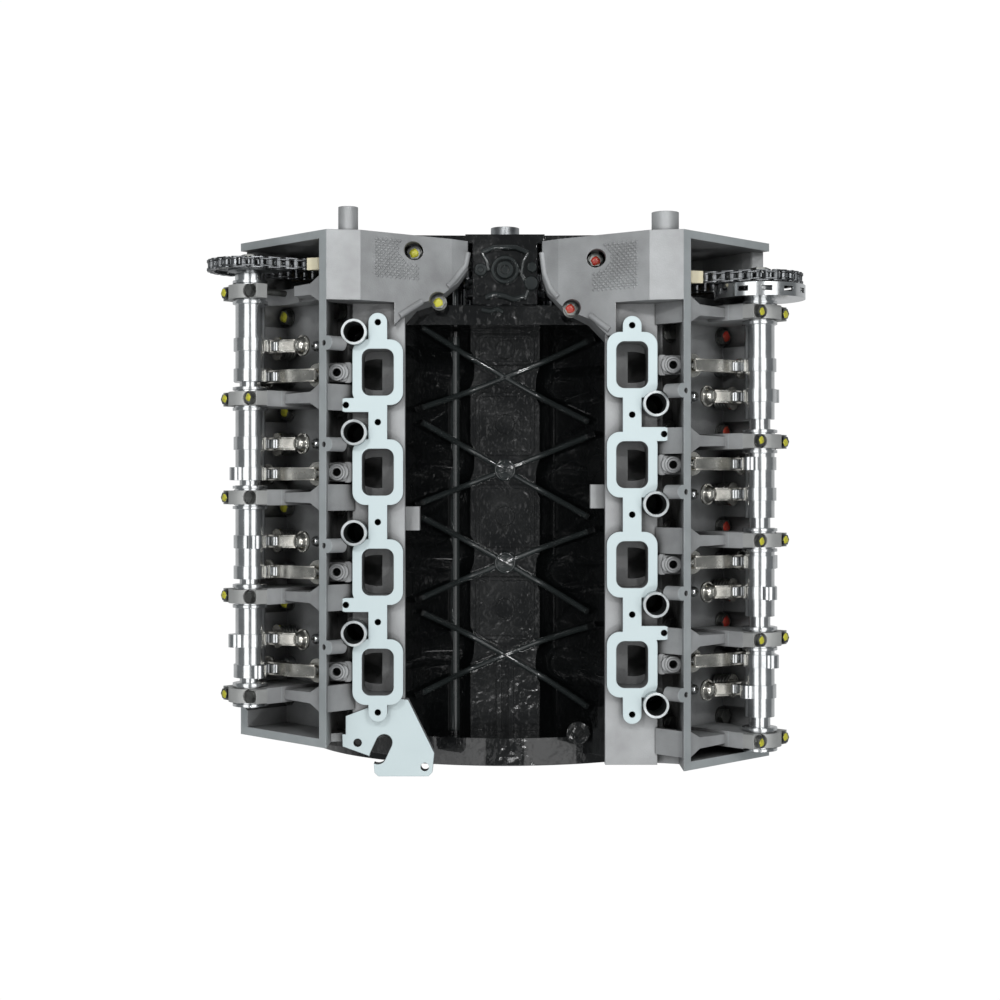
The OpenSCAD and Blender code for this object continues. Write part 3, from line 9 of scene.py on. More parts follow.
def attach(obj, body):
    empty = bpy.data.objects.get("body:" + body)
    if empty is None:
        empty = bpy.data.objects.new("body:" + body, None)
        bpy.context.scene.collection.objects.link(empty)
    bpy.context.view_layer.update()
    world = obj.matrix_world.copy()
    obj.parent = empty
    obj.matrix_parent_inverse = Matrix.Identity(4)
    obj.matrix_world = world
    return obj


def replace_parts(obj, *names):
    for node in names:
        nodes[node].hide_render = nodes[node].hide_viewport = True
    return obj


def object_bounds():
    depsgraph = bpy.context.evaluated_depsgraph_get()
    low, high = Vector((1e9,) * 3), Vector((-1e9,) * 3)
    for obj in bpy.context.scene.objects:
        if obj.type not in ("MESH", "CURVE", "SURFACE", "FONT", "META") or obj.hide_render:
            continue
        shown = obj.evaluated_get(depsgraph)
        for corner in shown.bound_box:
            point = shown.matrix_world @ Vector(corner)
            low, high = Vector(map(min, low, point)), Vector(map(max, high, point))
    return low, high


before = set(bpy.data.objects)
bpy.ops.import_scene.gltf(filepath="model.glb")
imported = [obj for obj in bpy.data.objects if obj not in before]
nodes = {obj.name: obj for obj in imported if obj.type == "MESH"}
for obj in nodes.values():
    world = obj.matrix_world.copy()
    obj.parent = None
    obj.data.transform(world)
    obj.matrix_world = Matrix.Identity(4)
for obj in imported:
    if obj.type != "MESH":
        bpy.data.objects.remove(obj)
cad_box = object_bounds()
MM = 0.001


# Studio
# The engine stands on a pale sweep under soft lamps, and the camera looks straight down on it from
# about 1.8 m above the intake flanges, with the front of the engine at the top of the frame.
def linear(code):
    parts = [int(code[i : i + 2], 16) / 255 for i in (1, 3, 5)]
    return (
        *[p / 12.92 if p <= 0.04045 else ((p + 0.055) / 1.055) ** 2.4 for p in parts],
        1.0,
    )


def add(tree, kind, values=None, links=None, **settings):
    made = tree.nodes.new(kind)
    for key, value in settings.items():
        setattr(made, key, value)
    for key, value in (values or {}).items():
        made.inputs[key].default_value = value
    for key, socket in (links or {}).items():
        tree.links.new(socket, made.inputs[key])
    return made


FLANGE_Z = 289 * MM
CAMERA_ABOVE_FLANGE = 1800 * MM
NADIR_Y = 309 * MM
FOCAL_PX = 1690
FRAME_PX = 1000
SENSOR_MM = 36
NADIR_PX = (505, 490)

camera_data = bpy.data.cameras.new("top_camera")
camera_data.sensor_width = SENSOR_MM
camera_data.lens = FOCAL_PX / FRAME_PX * SENSOR_MM
camera_data.shift_x = (FRAME_PX / 2 - NADIR_PX[0]) / FRAME_PX
camera_data.shift_y = (NADIR_PX[1] - FRAME_PX / 2) / FRAME_PX
camera_data.clip_end = 20
camera = bpy.data.objects.new("top_camera", camera_data)
camera.location = (0, NADIR_Y, FLANGE_Z + CAMERA_ABOVE_FLANGE)
bpy.context.scene.collection.objects.link(camera)
bpy.context.scene.camera = camera
bpy.context.scene.view_settings.view_transform = "Standard"

ENGINE_MIDDLE = Vector((0, 300 * MM, 100 * MM))


def soft_lamp(name, place, size, power):
    data = bpy.data.lights.new(name, "AREA")
    data.shape = "RECTANGLE"
    data.size, data.size_y = size
    data.energy = power
    lamp = bpy.data.objects.new(name, data)
    lamp.location = place
    lamp.rotation_euler = (ENGINE_MIDDLE - Vector(place)).to_track_quat("-Z", "Y").to_euler()
    bpy.context.scene.collection.objects.link(lamp)


BOX_SIZE, KEY_SIZE = (2.0, 1.3), (0.16, 0.16)
soft_lamp("left_box", (-1.03, 0.35, 2.3), BOX_SIZE, 14)
soft_lamp("right_box", (1.03, 0.35, 2.3), BOX_SIZE, 14)
soft_lamp("front_left_key", (-0.55, 1.25, 2.2), KEY_SIZE, 9)
soft_lamp("front_right_key", (0.6, 1.15, 2.3), KEY_SIZE, 9)
soft_lamp("rear_key", (0.25, -0.75, 2.3), KEY_SIZE, 8)

world = bpy.data.worlds.new("studio_sky")
bpy.context.scene.world = world
world.use_nodes = True
sky = world.node_tree
sky.nodes.clear()
light_path = add(sky, "ShaderNodeLightPath")
seen = add(sky, "ShaderNodeMath", links={0: light_path.outputs["Is Camera Ray"],
                                         1: light_path.outputs["Is Transmission Ray"]},
           operation="MAXIMUM")
plain_sky = add(sky, "ShaderNodeBackground", {"Color": linear("#D5DADD"), "Strength": 0.3})
white_sky = add(sky, "ShaderNodeBackground", {"Color": (1, 1, 1, 1), "Strength": 1.0})
sky_mix = add(sky, "ShaderNodeMixShader", links={0: seen.outputs[0], 1: plain_sky.outputs[0],
                                                 2: white_sky.outputs[0]})
add(sky, "ShaderNodeOutputWorld", links={"Surface": sky_mix.outputs[0]})


FLOOR_HALF = 6
FLOOR_GLOW = 1.02
FLOOR_GLOW_IN_MIRRORS = 0.35


def floor_finish():
    made = bpy.data.materials.new("pale_studio_floor")
    made.use_nodes = True
    tree = made.node_tree
    tree.nodes.clear()
    path = add(tree, "ShaderNodeLightPath")
    matt = add(tree, "ShaderNodeBsdfDiffuse", {"Color": linear("#B9BBBC")})
    white = add(tree, "ShaderNodeEmission", {"Color": (1, 1, 1, 1), "Strength": FLOOR_GLOW})
    shown = add(tree, "ShaderNodeMath", links={0: path.outputs["Is Camera Ray"],
                                               1: path.outputs["Is Transmission Ray"]},
                operation="MAXIMUM")
    mirrored = add(tree, "ShaderNodeMath", {1: FLOOR_GLOW_IN_MIRRORS},
                   {0: path.outputs["Is Glossy Ray"]}, operation="MULTIPLY")
    share = add(tree, "ShaderNodeMath", links={0: shown.outputs[0], 1: mirrored.outputs[0]},
                operation="MAXIMUM")
    mix = add(tree, "ShaderNodeMixShader", links={0: share.outputs[0],
                                                  1: matt.outputs[0], 2: white.outputs[0]})
    add(tree, "ShaderNodeOutputMaterial", links={"Surface": mix.outputs[0]})
    return made


floor_mesh = bpy.data.meshes.new("studio_floor")
floor_z = cad_box[0][2]
floor_mesh.from_pydata(
    [(x, y, floor_z) for x, y in ((-FLOOR_HALF, -FLOOR_HALF), (FLOOR_HALF, -FLOOR_HALF),
                                  (FLOOR_HALF, FLOOR_HALF), (-FLOOR_HALF, FLOOR_HALF))],
    [], [(0, 1, 2, 3)])
floor_mesh.materials.append(floor_finish())
floor = bpy.data.objects.new("studio_floor", floor_mesh)
bpy.context.scene.collection.objects.link(floor)


# Block, bedplate, covers and pan
# Sand-cast iron, with aluminium and pressed-steel covers, all painted gloss black after rebuilding.
# The paint pools in the cast grain, so the walls glitter.
def new_finish(name, metallic, roughness, edge_mm):
    made = bpy.data.materials.new(name)
    made.use_nodes = True
    tree = made.node_tree
    tree.nodes.clear()
    shader = add(tree, "ShaderNodeBsdfPrincipled", {"Metallic": metallic, "Roughness": roughness})
    add(tree, "ShaderNodeOutputMaterial", links={"Surface": shader.outputs[0]})
    place = add(tree, "ShaderNodeTexCoord")
    edge = add(tree, "ShaderNodeBevel", {"Radius": edge_mm * MM}, samples=4)
    return made, tree, shader, place.outputs["Object"], edge.outputs[0]


def dress(finish, *names):
    for name in names:
        mesh = nodes[name].data
        mesh.materials.clear()
        mesh.materials.append(finish)


# Sprayed enamel: it rounds every edge and breaks each lamp into glints. The sand grain under it is
# about 1 mm on the real casting, and is drawn several times coarser so that it shows from 1.8 m.
PAINT_CLOUD_MM = 45
PAINT_RUNS_PER_GRAIN = 3.5


def gloss_black(name, grain_mm, grain_depth, low="#030304", high="#0C0E0E"):
    made, tree, shader, place, edge = new_finish(name, 0.0, 0.16, 2.4)
    tone = add(tree, "ShaderNodeTexNoise", {"Scale": 1 / (PAINT_CLOUD_MM * MM), "Detail": 4},
               {"Vector": place})
    ramp = add(tree, "ShaderNodeValToRGB", links={"Fac": tone.outputs["Fac"]})
    ramp.color_ramp.elements[0].color = linear(low)
    ramp.color_ramp.elements[1].color = linear(high)
    tree.links.new(ramp.outputs[0], shader.inputs["Base Color"])
    shine = add(tree, "ShaderNodeMapRange", {"From Min": 0.3, "From Max": 0.7, "To Min": 0.1,
                                             "To Max": 0.3}, {"Value": tone.outputs["Fac"]})
    tree.links.new(shine.outputs[0], shader.inputs["Roughness"])
    runs = add(tree, "ShaderNodeTexNoise",
               {"Scale": 1 / (grain_mm * PAINT_RUNS_PER_GRAIN * MM), "Detail": 1}, {"Vector": place})
    coarse = add(tree, "ShaderNodeTexNoise", {"Scale": 1 / (grain_mm * MM), "Detail": 1.5,
                                              "Roughness": 0.4}, {"Vector": place})
    pooled = add(tree, "ShaderNodeBump", {"Strength": 1.0, "Distance": grain_depth * 2 * MM},
                 {"Height": runs.outputs["Fac"], "Normal": edge})
    bump = add(tree, "ShaderNodeBump", {"Strength": 1.0, "Distance": grain_depth * MM},
               {"Height": coarse.outputs["Fac"], "Normal": pooled.outputs[0]})
    tree.links.new(bump.outputs[0], shader.inputs["Normal"])
    shader.inputs["Specular IOR Level"].default_value = 0.25
    shader.inputs["Coat Weight"].default_value = 0.8
    shader.inputs["Coat Roughness"].default_value = 0.04
    return made


block_paint = gloss_black("gloss_black_on_sand_cast_iron", 7, 1.0)
cover_paint = gloss_black("gloss_black_on_cast_aluminium", 8, 0.8)
pan_paint = gloss_black("gloss_black_on_pressed_steel", 22, 0.4)
dress(block_paint, "cylinder_block", "bedplate", "core_plugs")
dress(cover_paint, "timing_cover", "rear_seal_carrier")
dress(pan_paint, "oil_pan")


# Cylinder heads and cam caps
# Cast aluminium, blasted to a soft grey grain. The intake flange and the mount pad are milled bare,
# which leaves them nearly white, and the valve cover rail is milled too but has dulled.
RAIL_H = 357 * MM
REAR_PAD_Z = 277 * MM
HALF = math.sqrt(0.5)
MILLING_DEPTH = 0.6 * MM
FACES_UP = 0.97
FACES_OUT_OF_BANK = 1.39
CREVICE_MM = 42


def paint_crevice_shade(tree, colour, code, reach_mm):
    """Painted shade: where the casting is closed in, as ambient occlusion finds it, the colour is
    darkened to a brownish black.
    """
    shade = add(tree, "ShaderNodeAmbientOcclusion", {"Distance": reach_mm * MM}, samples=6)
    depth = add(tree, "ShaderNodeMapRange", {"From Min": 0.1, "From Max": 0.75, "To Min": 0.92,
                                             "To Max": 0.0}, {"Value": shade.outputs["AO"]})
    mix = add(tree, "ShaderNodeMix", {"B": linear(code)},
              {"Factor": depth.outputs[0], "A": colour}, data_type="RGBA")
    return mix.outputs["Result"]


# The blasted skin scatters light softly and is a little cloudy. Its real grain is about 0.3 mm, drawn
# at 1.6 mm so that it shows.
SKIN_CLOUD_MM, SKIN_GRAIN_MM = 35, 1.6


def cast_aluminium(name, low, high, milled_planes):
    made, tree, shader, place, edge = new_finish(name, 0.35, 0.5, 1.0)
    cloud = add(tree, "ShaderNodeTexNoise", {"Scale": 1 / (SKIN_CLOUD_MM * MM), "Detail": 5},
                {"Vector": place})
    skin = add(tree, "ShaderNodeValToRGB", links={"Fac": cloud.outputs["Fac"]})
    skin.color_ramp.elements[0].position = 0.3
    skin.color_ramp.elements[0].color = linear(low)
    skin.color_ramp.elements[1].position = 0.7
    skin.color_ramp.elements[1].color = linear(high)
    # Painted shade darkens the blasted skin in hollows and corners.
    colour = paint_crevice_shade(tree, skin.outputs[0], "#1F1D1A", CREVICE_MM)
    rough = add(tree, "ShaderNodeMapRange", {"To Min": 0.42, "To Max": 0.62},
                {"Value": cloud.outputs["Fac"]}).outputs[0]
    grain = add(tree, "ShaderNodeTexNoise", {"Scale": 1 / (SKIN_GRAIN_MM * MM), "Detail": 3},
                {"Vector": place})
    height = grain.outputs["Fac"]
    if milled_planes:
        spot = add(tree, "ShaderNodeSeparateXYZ", links={"Vector": place})
        geometry = add(tree, "ShaderNodeNewGeometry")
        facing = add(tree, "ShaderNodeSeparateXYZ", links={"Vector": geometry.outputs["True Normal"]})

        def bank_height(split):
            side = add(tree, "ShaderNodeMath", links={0: split.outputs["X"]}, operation="ABSOLUTE")
            total = add(tree, "ShaderNodeMath", links={0: side.outputs[0], 1: split.outputs["Z"]},
                        operation="ADD")
            return total.outputs[0]

        def at_height(socket, height, facing_socket, least):
            level = add(tree, "ShaderNodeMath", {1: height, 2: MILLING_DEPTH}, {0: socket},
                        operation="COMPARE")
            flat = add(tree, "ShaderNodeMath", {1: least}, {0: facing_socket},
                       operation="GREATER_THAN")
            return add(tree, "ShaderNodeMath", links={0: level.outputs[0], 1: flat.outputs[0]},
                       operation="MULTIPLY").outputs[0]

        rail = at_height(bank_height(spot), RAIL_H / HALF, bank_height(facing), FACES_OUT_OF_BANK)
        flange = at_height(spot.outputs["Z"], FLANGE_Z, facing.outputs["Z"], FACES_UP)
        pad = at_height(spot.outputs["Z"], REAR_PAD_Z, facing.outputs["Z"], FACES_UP)
        soft_rail = add(tree, "ShaderNodeMath", {1: 0.3}, {0: rail}, operation="MULTIPLY")
        milled = add(tree, "ShaderNodeMath", links={0: pad, 1: flange}, operation="MAXIMUM")
        mask = add(tree, "ShaderNodeMath", links={0: milled.outputs[0], 1: soft_rail.outputs[0]},
                   operation="MAXIMUM")
        bright = add(tree, "ShaderNodeMix", {"B": linear("#C3D0D2")},
                     {"Factor": mask.outputs[0], "A": colour}, data_type="RGBA")
        colour = bright.outputs["Result"]
        smooth = add(tree, "ShaderNodeMapRange", {"To Min": 1.0, "To Max": 0.1},
                     {"Value": mask.outputs[0]})
        damped = add(tree, "ShaderNodeMath", links={0: height, 1: smooth.outputs[0]},
                     operation="MULTIPLY")
        height = damped.outputs[0]
    tree.links.new(colour, shader.inputs["Base Color"])
    tree.links.new(rough, shader.inputs["Roughness"])
    bump = add(tree, "ShaderNodeBump", {"Strength": 0.6, "Distance": 0.4 * MM},
               {"Height": height, "Normal": edge})
    tree.links.new(bump.outputs[0], shader.inputs["Normal"])
    return made


head_metal = cast_aluminium("blasted_cast_aluminium", "#969798", "#AFB1B2", True)
cap_metal = cast_aluminium("die_cast_aluminium", "#A0A1A0", "#B8B9B7", False)
piston_metal = cast_aluminium("turned_piston_aluminium", "#A7ABAD", "#C2C6C8", False)
dress(head_metal, "head_left", "head_right")
dress(cap_metal, "cam_caps_left", "cam_caps_right", "oil_pump", "chain_tensioners")
dress(piston_metal, "pistons")


# Camshafts, rollers, followers and other bright steel
# Journals and lobes are ground, so fine rings run round them. Followers, retainers and sprockets are
# pressed or sintered and duller, and the fasteners are phosphated dark.
# Real grinding lines are finer than the render can show, so the rings are drawn 5 mm or more apart.
STEEL_CLOUD_MM = 14
WAVE_BAND = 2 * math.pi / 20


def worked_steel(name, code_low, code_high, rough_low, rough_high, ring_mm):
    made, tree, shader, place, edge = new_finish(name, 1.0, rough_low, 0.5)
    cloud = add(tree, "ShaderNodeTexNoise", {"Scale": 1 / (STEEL_CLOUD_MM * MM), "Detail": 4},
                {"Vector": place})
    tone = add(tree, "ShaderNodeValToRGB", links={"Fac": cloud.outputs["Fac"]})
    tone.color_ramp.elements[0].position = 0.32
    tone.color_ramp.elements[0].color = linear(code_low)
    tone.color_ramp.elements[1].position = 0.68
    tone.color_ramp.elements[1].color = linear(code_high)
    tree.links.new(tone.outputs[0], shader.inputs["Base Color"])
    rough = add(tree, "ShaderNodeMapRange", {"To Min": rough_low, "To Max": rough_high},
                {"Value": cloud.outputs["Fac"]})
    tree.links.new(rough.outputs[0], shader.inputs["Roughness"])
    rings = add(tree, "ShaderNodeTexWave", {"Scale": WAVE_BAND / (ring_mm * MM), "Distortion": 2.0},
                {"Vector": place}, bands_direction="Y")
    bump = add(tree, "ShaderNodeBump", {"Strength": 0.15, "Distance": 0.05 * MM},
               {"Height": rings.outputs["Fac"], "Normal": edge})
    tree.links.new(bump.outputs[0], shader.inputs["Normal"])
    return made


ground_steel = worked_steel("ground_camshaft_steel", "#C4C6C7", "#D3D5D6", 0.17, 0.2, 5.03)
forged_steel = worked_steel("forged_crank_steel", "#77797B", "#A3A6A8", 0.3, 0.5, 7.54)
pressed_steel = worked_steel("pressed_follower_steel", "#B3B1AA", "#DBD8D0", 0.2, 0.32, 18.85)
sintered_steel = worked_steel("sintered_sprocket_steel", "#6F7274", "#9C9FA1", 0.32, 0.5, 12.57)
chain_steel = worked_steel("oiled_chain_steel", "#5A5C5E", "#8B8D8F", 0.24, 0.4, 12.57)
phosphated_steel = worked_steel("phosphated_bolt_steel", "#5A5B59", "#8A8B88", 0.35, 0.55, 9.42)
lining_metal = worked_steel("bearing_lining_alloy", "#A09272", "#C9BB98", 0.3, 0.45, 6.28)
tube_steel = worked_steel("drawn_tube_steel", "#9DA2A3", "#C3C8C9", 0.28, 0.4, 6.28)
dress(ground_steel, "camshaft_left", "camshaft_right", "rocker_rollers", "wrist_pins",
      "lash_adjusters", "locating_dowels", "idler_shaft", "guide_pivots", "cam_target_wheel")
dress(forged_steel, "crankshaft", "connecting_rods", "crank_key", "intake_valves",
      "exhaust_valves")
dress(pressed_steel, "intake_rockers", "exhaust_rockers", "spring_retainers", "windage_tray",
      "oil_pickup", "head_gaskets")
dress(sintered_steel, "crank_sprocket", "cam_sprocket_left", "cam_sprocket_right",
      "idler_sprocket", "valve_springs", "piston_rings")
dress(chain_steel, "primary_chain", "left_chain", "right_chain")
dress(phosphated_steel, "head_bolts", "front_head_bolts", "cam_cap_bolts",
      "cam_sprocket_bolts_left", "cam_sprocket_bolts_right", "bedplate_bolts",
      "timing_cover_bolts", "oil_pan_bolts", "drain_plug")
dress(lining_metal, "main_bearings")
dress(tube_steel, "spark_plug_tubes")


# Chain guides, tensioner arms and the crank seal
# Guides and arms are moulded nylon: the fixed guide keeps its cream colour, the arms are stained
# with oil. The seal is moulded rubber.
OIL_CLOUD_MM = 20


def moulded(name, code_low, code_high, roughness, grain_mm):
    made, tree, shader, place, edge = new_finish(name, 0.0, roughness, 0.8)
    cloud = add(tree, "ShaderNodeTexNoise", {"Scale": 1 / (OIL_CLOUD_MM * MM), "Detail": 4},
                {"Vector": place})
    tone = add(tree, "ShaderNodeValToRGB", links={"Fac": cloud.outputs["Fac"]})
    tone.color_ramp.elements[0].color = linear(code_low)
    tone.color_ramp.elements[1].color = linear(code_high)
    tree.links.new(tone.outputs[0], shader.inputs["Base Color"])
    grain = add(tree, "ShaderNodeTexNoise", {"Scale": 1 / (grain_mm * MM)}, {"Vector": place})
    bump = add(tree, "ShaderNodeBump", {"Strength": 0.2, "Distance": 0.1 * MM},
               {"Height": grain.outputs["Fac"], "Normal": edge})
    tree.links.new(bump.outputs[0], shader.inputs["Normal"])
    return made


dress(moulded("natural_nylon", "#D8CFAE", "#EDE6CC", 0.45, 1), "chain_guides")
dress(moulded("oil_stained_nylon", "#3B3527", "#5A503A", 0.4, 1), "tensioner_arms")
dress(moulded("seal_rubber", "#0E0D0D", "#1C1A1A", 0.6, 0.8), "front_crank_seal")


# Timing chains
# Roller chains of 9.5 mm pitch: waisted plates in pairs, inner and outer by turns, on riveted pins
# with a roller between the inner plates. They are wet with oil, so the plates are dark and shiny.
CHAIN_PITCH = 9.525 * MM
CRANK_TEETH, CAM_TEETH = 18, 28
IDLER_Z = 130 * MM
PRIMARY_Y = 566 * MM
SECONDARY_YS = {"left_chain": (-1, 551 * MM), "right_chain": (1, 537 * MM)}
CAM_H, CAM_U = 376.5 * MM, 14 * MM
CAM_X, CAM_Z = (CAM_H + CAM_U) * HALF, (CAM_H - CAM_U) * HALF
PLATE_R, PLATE_WAIST, PLATE_T = 4.1 * MM, 2.9 * MM, 1.3 * MM
INNER_PLATE_Y, OUTER_PLATE_Y = 3.6 * MM, 5.2 * MM
PIN_R, PIN_HALF = 1.7 * MM, 6.2 * MM
ROLLER_R, ROLLER_HALF = 3.1 * MM, 2.6 * MM
END_POINTS = 7


def pitch_radius(teeth):
    return CHAIN_PITCH / (2 * math.sin(math.pi / teeth))


def chain_path(a, b):
    """Pin places along the loop round two sprockets, each an X, Z and pitch radius."""
    ax, az, ar = a
    bx, bz, br = b
    run = math.hypot(bx - ax, bz - az)
    heading = math.atan2(bz - az, bx - ax)
    spread = math.acos((ar - br) / run)
    straight = math.sqrt(run**2 - (ar - br) ** 2)
    arcs = (ar * (2 * math.pi - 2 * spread), br * 2 * spread)
    total = arcs[0] + arcs[1] + 2 * straight
    count = 2 * round(total / CHAIN_PITCH / 2)
    places = []
    for k in range(count):
        s = total * k / count
        if s < arcs[0]:
            w = heading + spread + s / ar
            places.append((ax + ar * math.cos(w), az + ar * math.sin(w)))
            continue
        s -= arcs[0]
        w = heading - spread
        if s < straight:
            f = s / straight
            places.append(((ax + ar * math.cos(w)) * (1 - f) + (bx + br * math.cos(w)) * f,
                           (az + ar * math.sin(w)) * (1 - f) + (bz + br * math.sin(w)) * f))
            continue
        s -= straight
        if s < arcs[1]:
            w += s / br
            places.append((bx + br * math.cos(w), bz + br * math.sin(w)))
            continue
        f = (s - arcs[1]) / straight
        w = heading + spread
        places.append(((bx + br * math.cos(w)) * (1 - f) + (ax + ar * math.cos(w)) * f,
                       (bz + br * math.sin(w)) * (1 - f) + (az + ar * math.sin(w)) * f))
    return places


def prism(shape, outline, low, high, turn):
    """Adds a prism to the mesh: an X-Z outline from one Y to another, moved by a matrix."""
    rings = [[shape.verts.new(turn @ Vector((x, y, z))) for x, z in outline] for y in (low, high)]
    n = len(outline)
    shape.faces.new(rings[0][::-1])
    shape.faces.new(rings[1])
    for k in range(n):
        shape.faces.new((rings[0][k], rings[0][(k + 1) % n], rings[1][(k + 1) % n], rings[1][k]))


def circle(radius, count, x=0.0, start=0.0, sweep=2 * math.pi):
    return [(x + radius * math.cos(start + sweep * k / count),
             radius * math.sin(start + sweep * k / count)) for k in range(count)]


def finish_piece(name, shape, material, body, smooth_deg=35):
    mesh = bpy.data.meshes.new(name)
    bmesh.ops.recalc_face_normals(shape, faces=shape.faces)
    shape.to_mesh(mesh)
    shape.free()
    mesh.materials.append(material)
    mesh.shade_smooth()
    mesh.set_sharp_from_angle(angle=math.radians(smooth_deg))
    piece = bpy.data.objects.new(name, mesh)
    bpy.context.scene.collection.objects.link(piece)
    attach(piece, body)
    return piece


def roller_chain(name, a, b, y):
    places = chain_path(a, b)
    shape = bmesh.new()
    quarter = math.pi / 2
    half_turn = 2 * quarter * END_POINTS / (END_POINTS - 1)
    for k, (x0, z0) in enumerate(places):
        x1, z1 = places[(k + 1) % len(places)]
        length = math.hypot(x1 - x0, z1 - z0)
        lie = Matrix.Translation((x0, y, z0)) @ Matrix.Rotation(-math.atan2(z1 - z0, x1 - x0), 4, "Y")
        plate = (circle(PLATE_R, END_POINTS, start=quarter, sweep=half_turn)
                 + [(length / 2, -PLATE_WAIST)]
                 + circle(PLATE_R, END_POINTS, x=length, start=-quarter, sweep=half_turn)
                 + [(length / 2, PLATE_WAIST)])
        middle = INNER_PLATE_Y if k % 2 else OUTER_PLATE_Y
        for s in (-1, 1):
            prism(shape, plate, s * middle - PLATE_T / 2, s * middle + PLATE_T / 2, lie)
        prism(shape, circle(PIN_R, 8), -PIN_HALF, PIN_HALF, lie)
        prism(shape, circle(ROLLER_R, 10), -ROLLER_HALF, ROLLER_HALF, lie)
    return finish_piece(name, shape, chain_steel, "block")


crank_end = (0, 0, pitch_radius(CRANK_TEETH))
idler_big = (0, IDLER_Z, pitch_radius(2 * CRANK_TEETH))
idler_small = (0, IDLER_Z, pitch_radius(CAM_TEETH))
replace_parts(roller_chain("primary_roller_chain", crank_end, idler_big, PRIMARY_Y), "primary_chain")
for chain_node, (side, chain_y) in SECONDARY_YS.items():
    links = roller_chain(chain_node + "_links", idler_small,
                         (side * CAM_X, CAM_Z, pitch_radius(CAM_TEETH)), chain_y)
    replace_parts(links, chain_node)


# Valve springs
# Cold-wound oil-tempered wire, four and a half turns to a spring. Each spring leans with its valve
# and is held between its seat in the head and the retainer at the valve tip.
BORE_PITCH, BANK_LEAD, REAR_BORE_Y = 106.5 * MM, 22 * MM, 108 * MM
VALVE_DY = 16.5 * MM
VALVE_FOOT_H, TIP_H = 239.8 * MM, 333 * MM
INTAKE_FOOT_U, INTAKE_TIP_U = -20 * MM, -41 * MM
EXHAUST_FOOT_U, EXHAUST_TIP_U = 18 * MM, 31 * MM
SPRING_FROM, SPRING_TO, SPRING_R, WIRE_R = 67.4 * MM, 87 * MM, 10.8 * MM, 1.7 * MM
SPRING_TURNS, STEPS_PER_TURN, WIRE_POINTS = 4.5, 18, 8


def bank_matrix(side):
    flip = Matrix.Diagonal((side, 1, 1, 1))
    return flip @ Matrix.Rotation(math.radians(45), 4, "Y")


def bore_y(side, i):
    return REAR_BORE_Y + (BANK_LEAD if side < 0 else 0) + i * BORE_PITCH


def loft(shape, rings, turn):
    """Adds a skin over rings of points that all have the same count, closed at both ends."""
    skin = [[shape.verts.new(turn @ Vector(p)) for p in points] for points in rings]
    n = len(skin[0])
    for low, high in zip(skin, skin[1:]):
        for k in range(n):
            shape.faces.new((low[k], low[(k + 1) % n], high[(k + 1) % n], high[k]))
    shape.faces.new(skin[0][::-1])
    shape.faces.new(skin[-1])


def coil(shape, turn):
    steps = int(SPRING_TURNS * STEPS_PER_TURN)
    rings = []
    for k in range(steps + 1):
        f = k / steps
        a = 2 * math.pi * SPRING_TURNS * f
        z = SPRING_FROM + WIRE_R + (SPRING_TO - SPRING_FROM - 2 * WIRE_R) * f
        out = Vector((math.cos(a), math.sin(a), 0))
        middle = out * SPRING_R + Vector((0, 0, z))
        rings.append([middle + (out * math.cos(w) + Vector((0, 0, math.sin(w)))) * WIRE_R
                      for w in (2 * math.pi * j / WIRE_POINTS for j in range(WIRE_POINTS))])
    loft(shape, rings, turn)


spring_shape = bmesh.new()
for side in (1, -1):
    for i in range(4):
        for foot, tip, dy in ((INTAKE_FOOT_U, INTAKE_TIP_U, side * VALVE_DY),
                              (EXHAUST_FOOT_U, EXHAUST_TIP_U, -side * VALVE_DY)):
            lean = math.atan2(tip - foot, TIP_H - VALVE_FOOT_H)
            coil(spring_shape, bank_matrix(side)
                 @ Matrix.Translation((foot, bore_y(side, i) + dy, VALVE_FOOT_H))
                 @ Matrix.Rotation(lean, 4, "Y"))
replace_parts(finish_piece("valve_spring_coils", spring_shape, phosphated_steel,
                         "block", 60), "valve_springs")


# Finger followers
# Each follower is pressed from sheet steel: a cup with a ball dome sits on the lash adjuster, two
# cheeks carry the roller pin in an open window, and a pad at the far end rests on the valve tip.
CHEEK_IN, CHEEK_OUT = 5.2 * MM, 7 * MM
INTAKE_CUP_U, EXHAUST_CUP_U = 37 * MM, -23 * MM
DOME_RINGS = ((11.5, 332.6), (11.5, 335), (9.6, 335.6), (8.4, 337.5), (7.9, 339.5), (7.0, 341.3),
              (5.2, 342.8), (2.8, 343.6), (0.4, 343.8))


def ring(radius, height, count=28, x=0.0, y=0.0):
    return [(x + radius * math.cos(2 * math.pi * k / count),
             y + radius * math.sin(2 * math.pi * k / count), height) for k in range(count)]


def follower(shape, turn, cheek, plate, cup_u):
    cheek, plate = ([(u * MM, h * MM) for u, h in outline] for outline in (cheek, plate))
    for low, high in ((-CHEEK_OUT, -CHEEK_IN), (CHEEK_IN, CHEEK_OUT)):
        prism(shape, cheek, low, high, turn)
    prism(shape, plate, -CHEEK_IN, CHEEK_IN, turn)
    loft(shape, [ring(r * MM, h * MM, x=cup_u) for r, h in DOME_RINGS], turn)


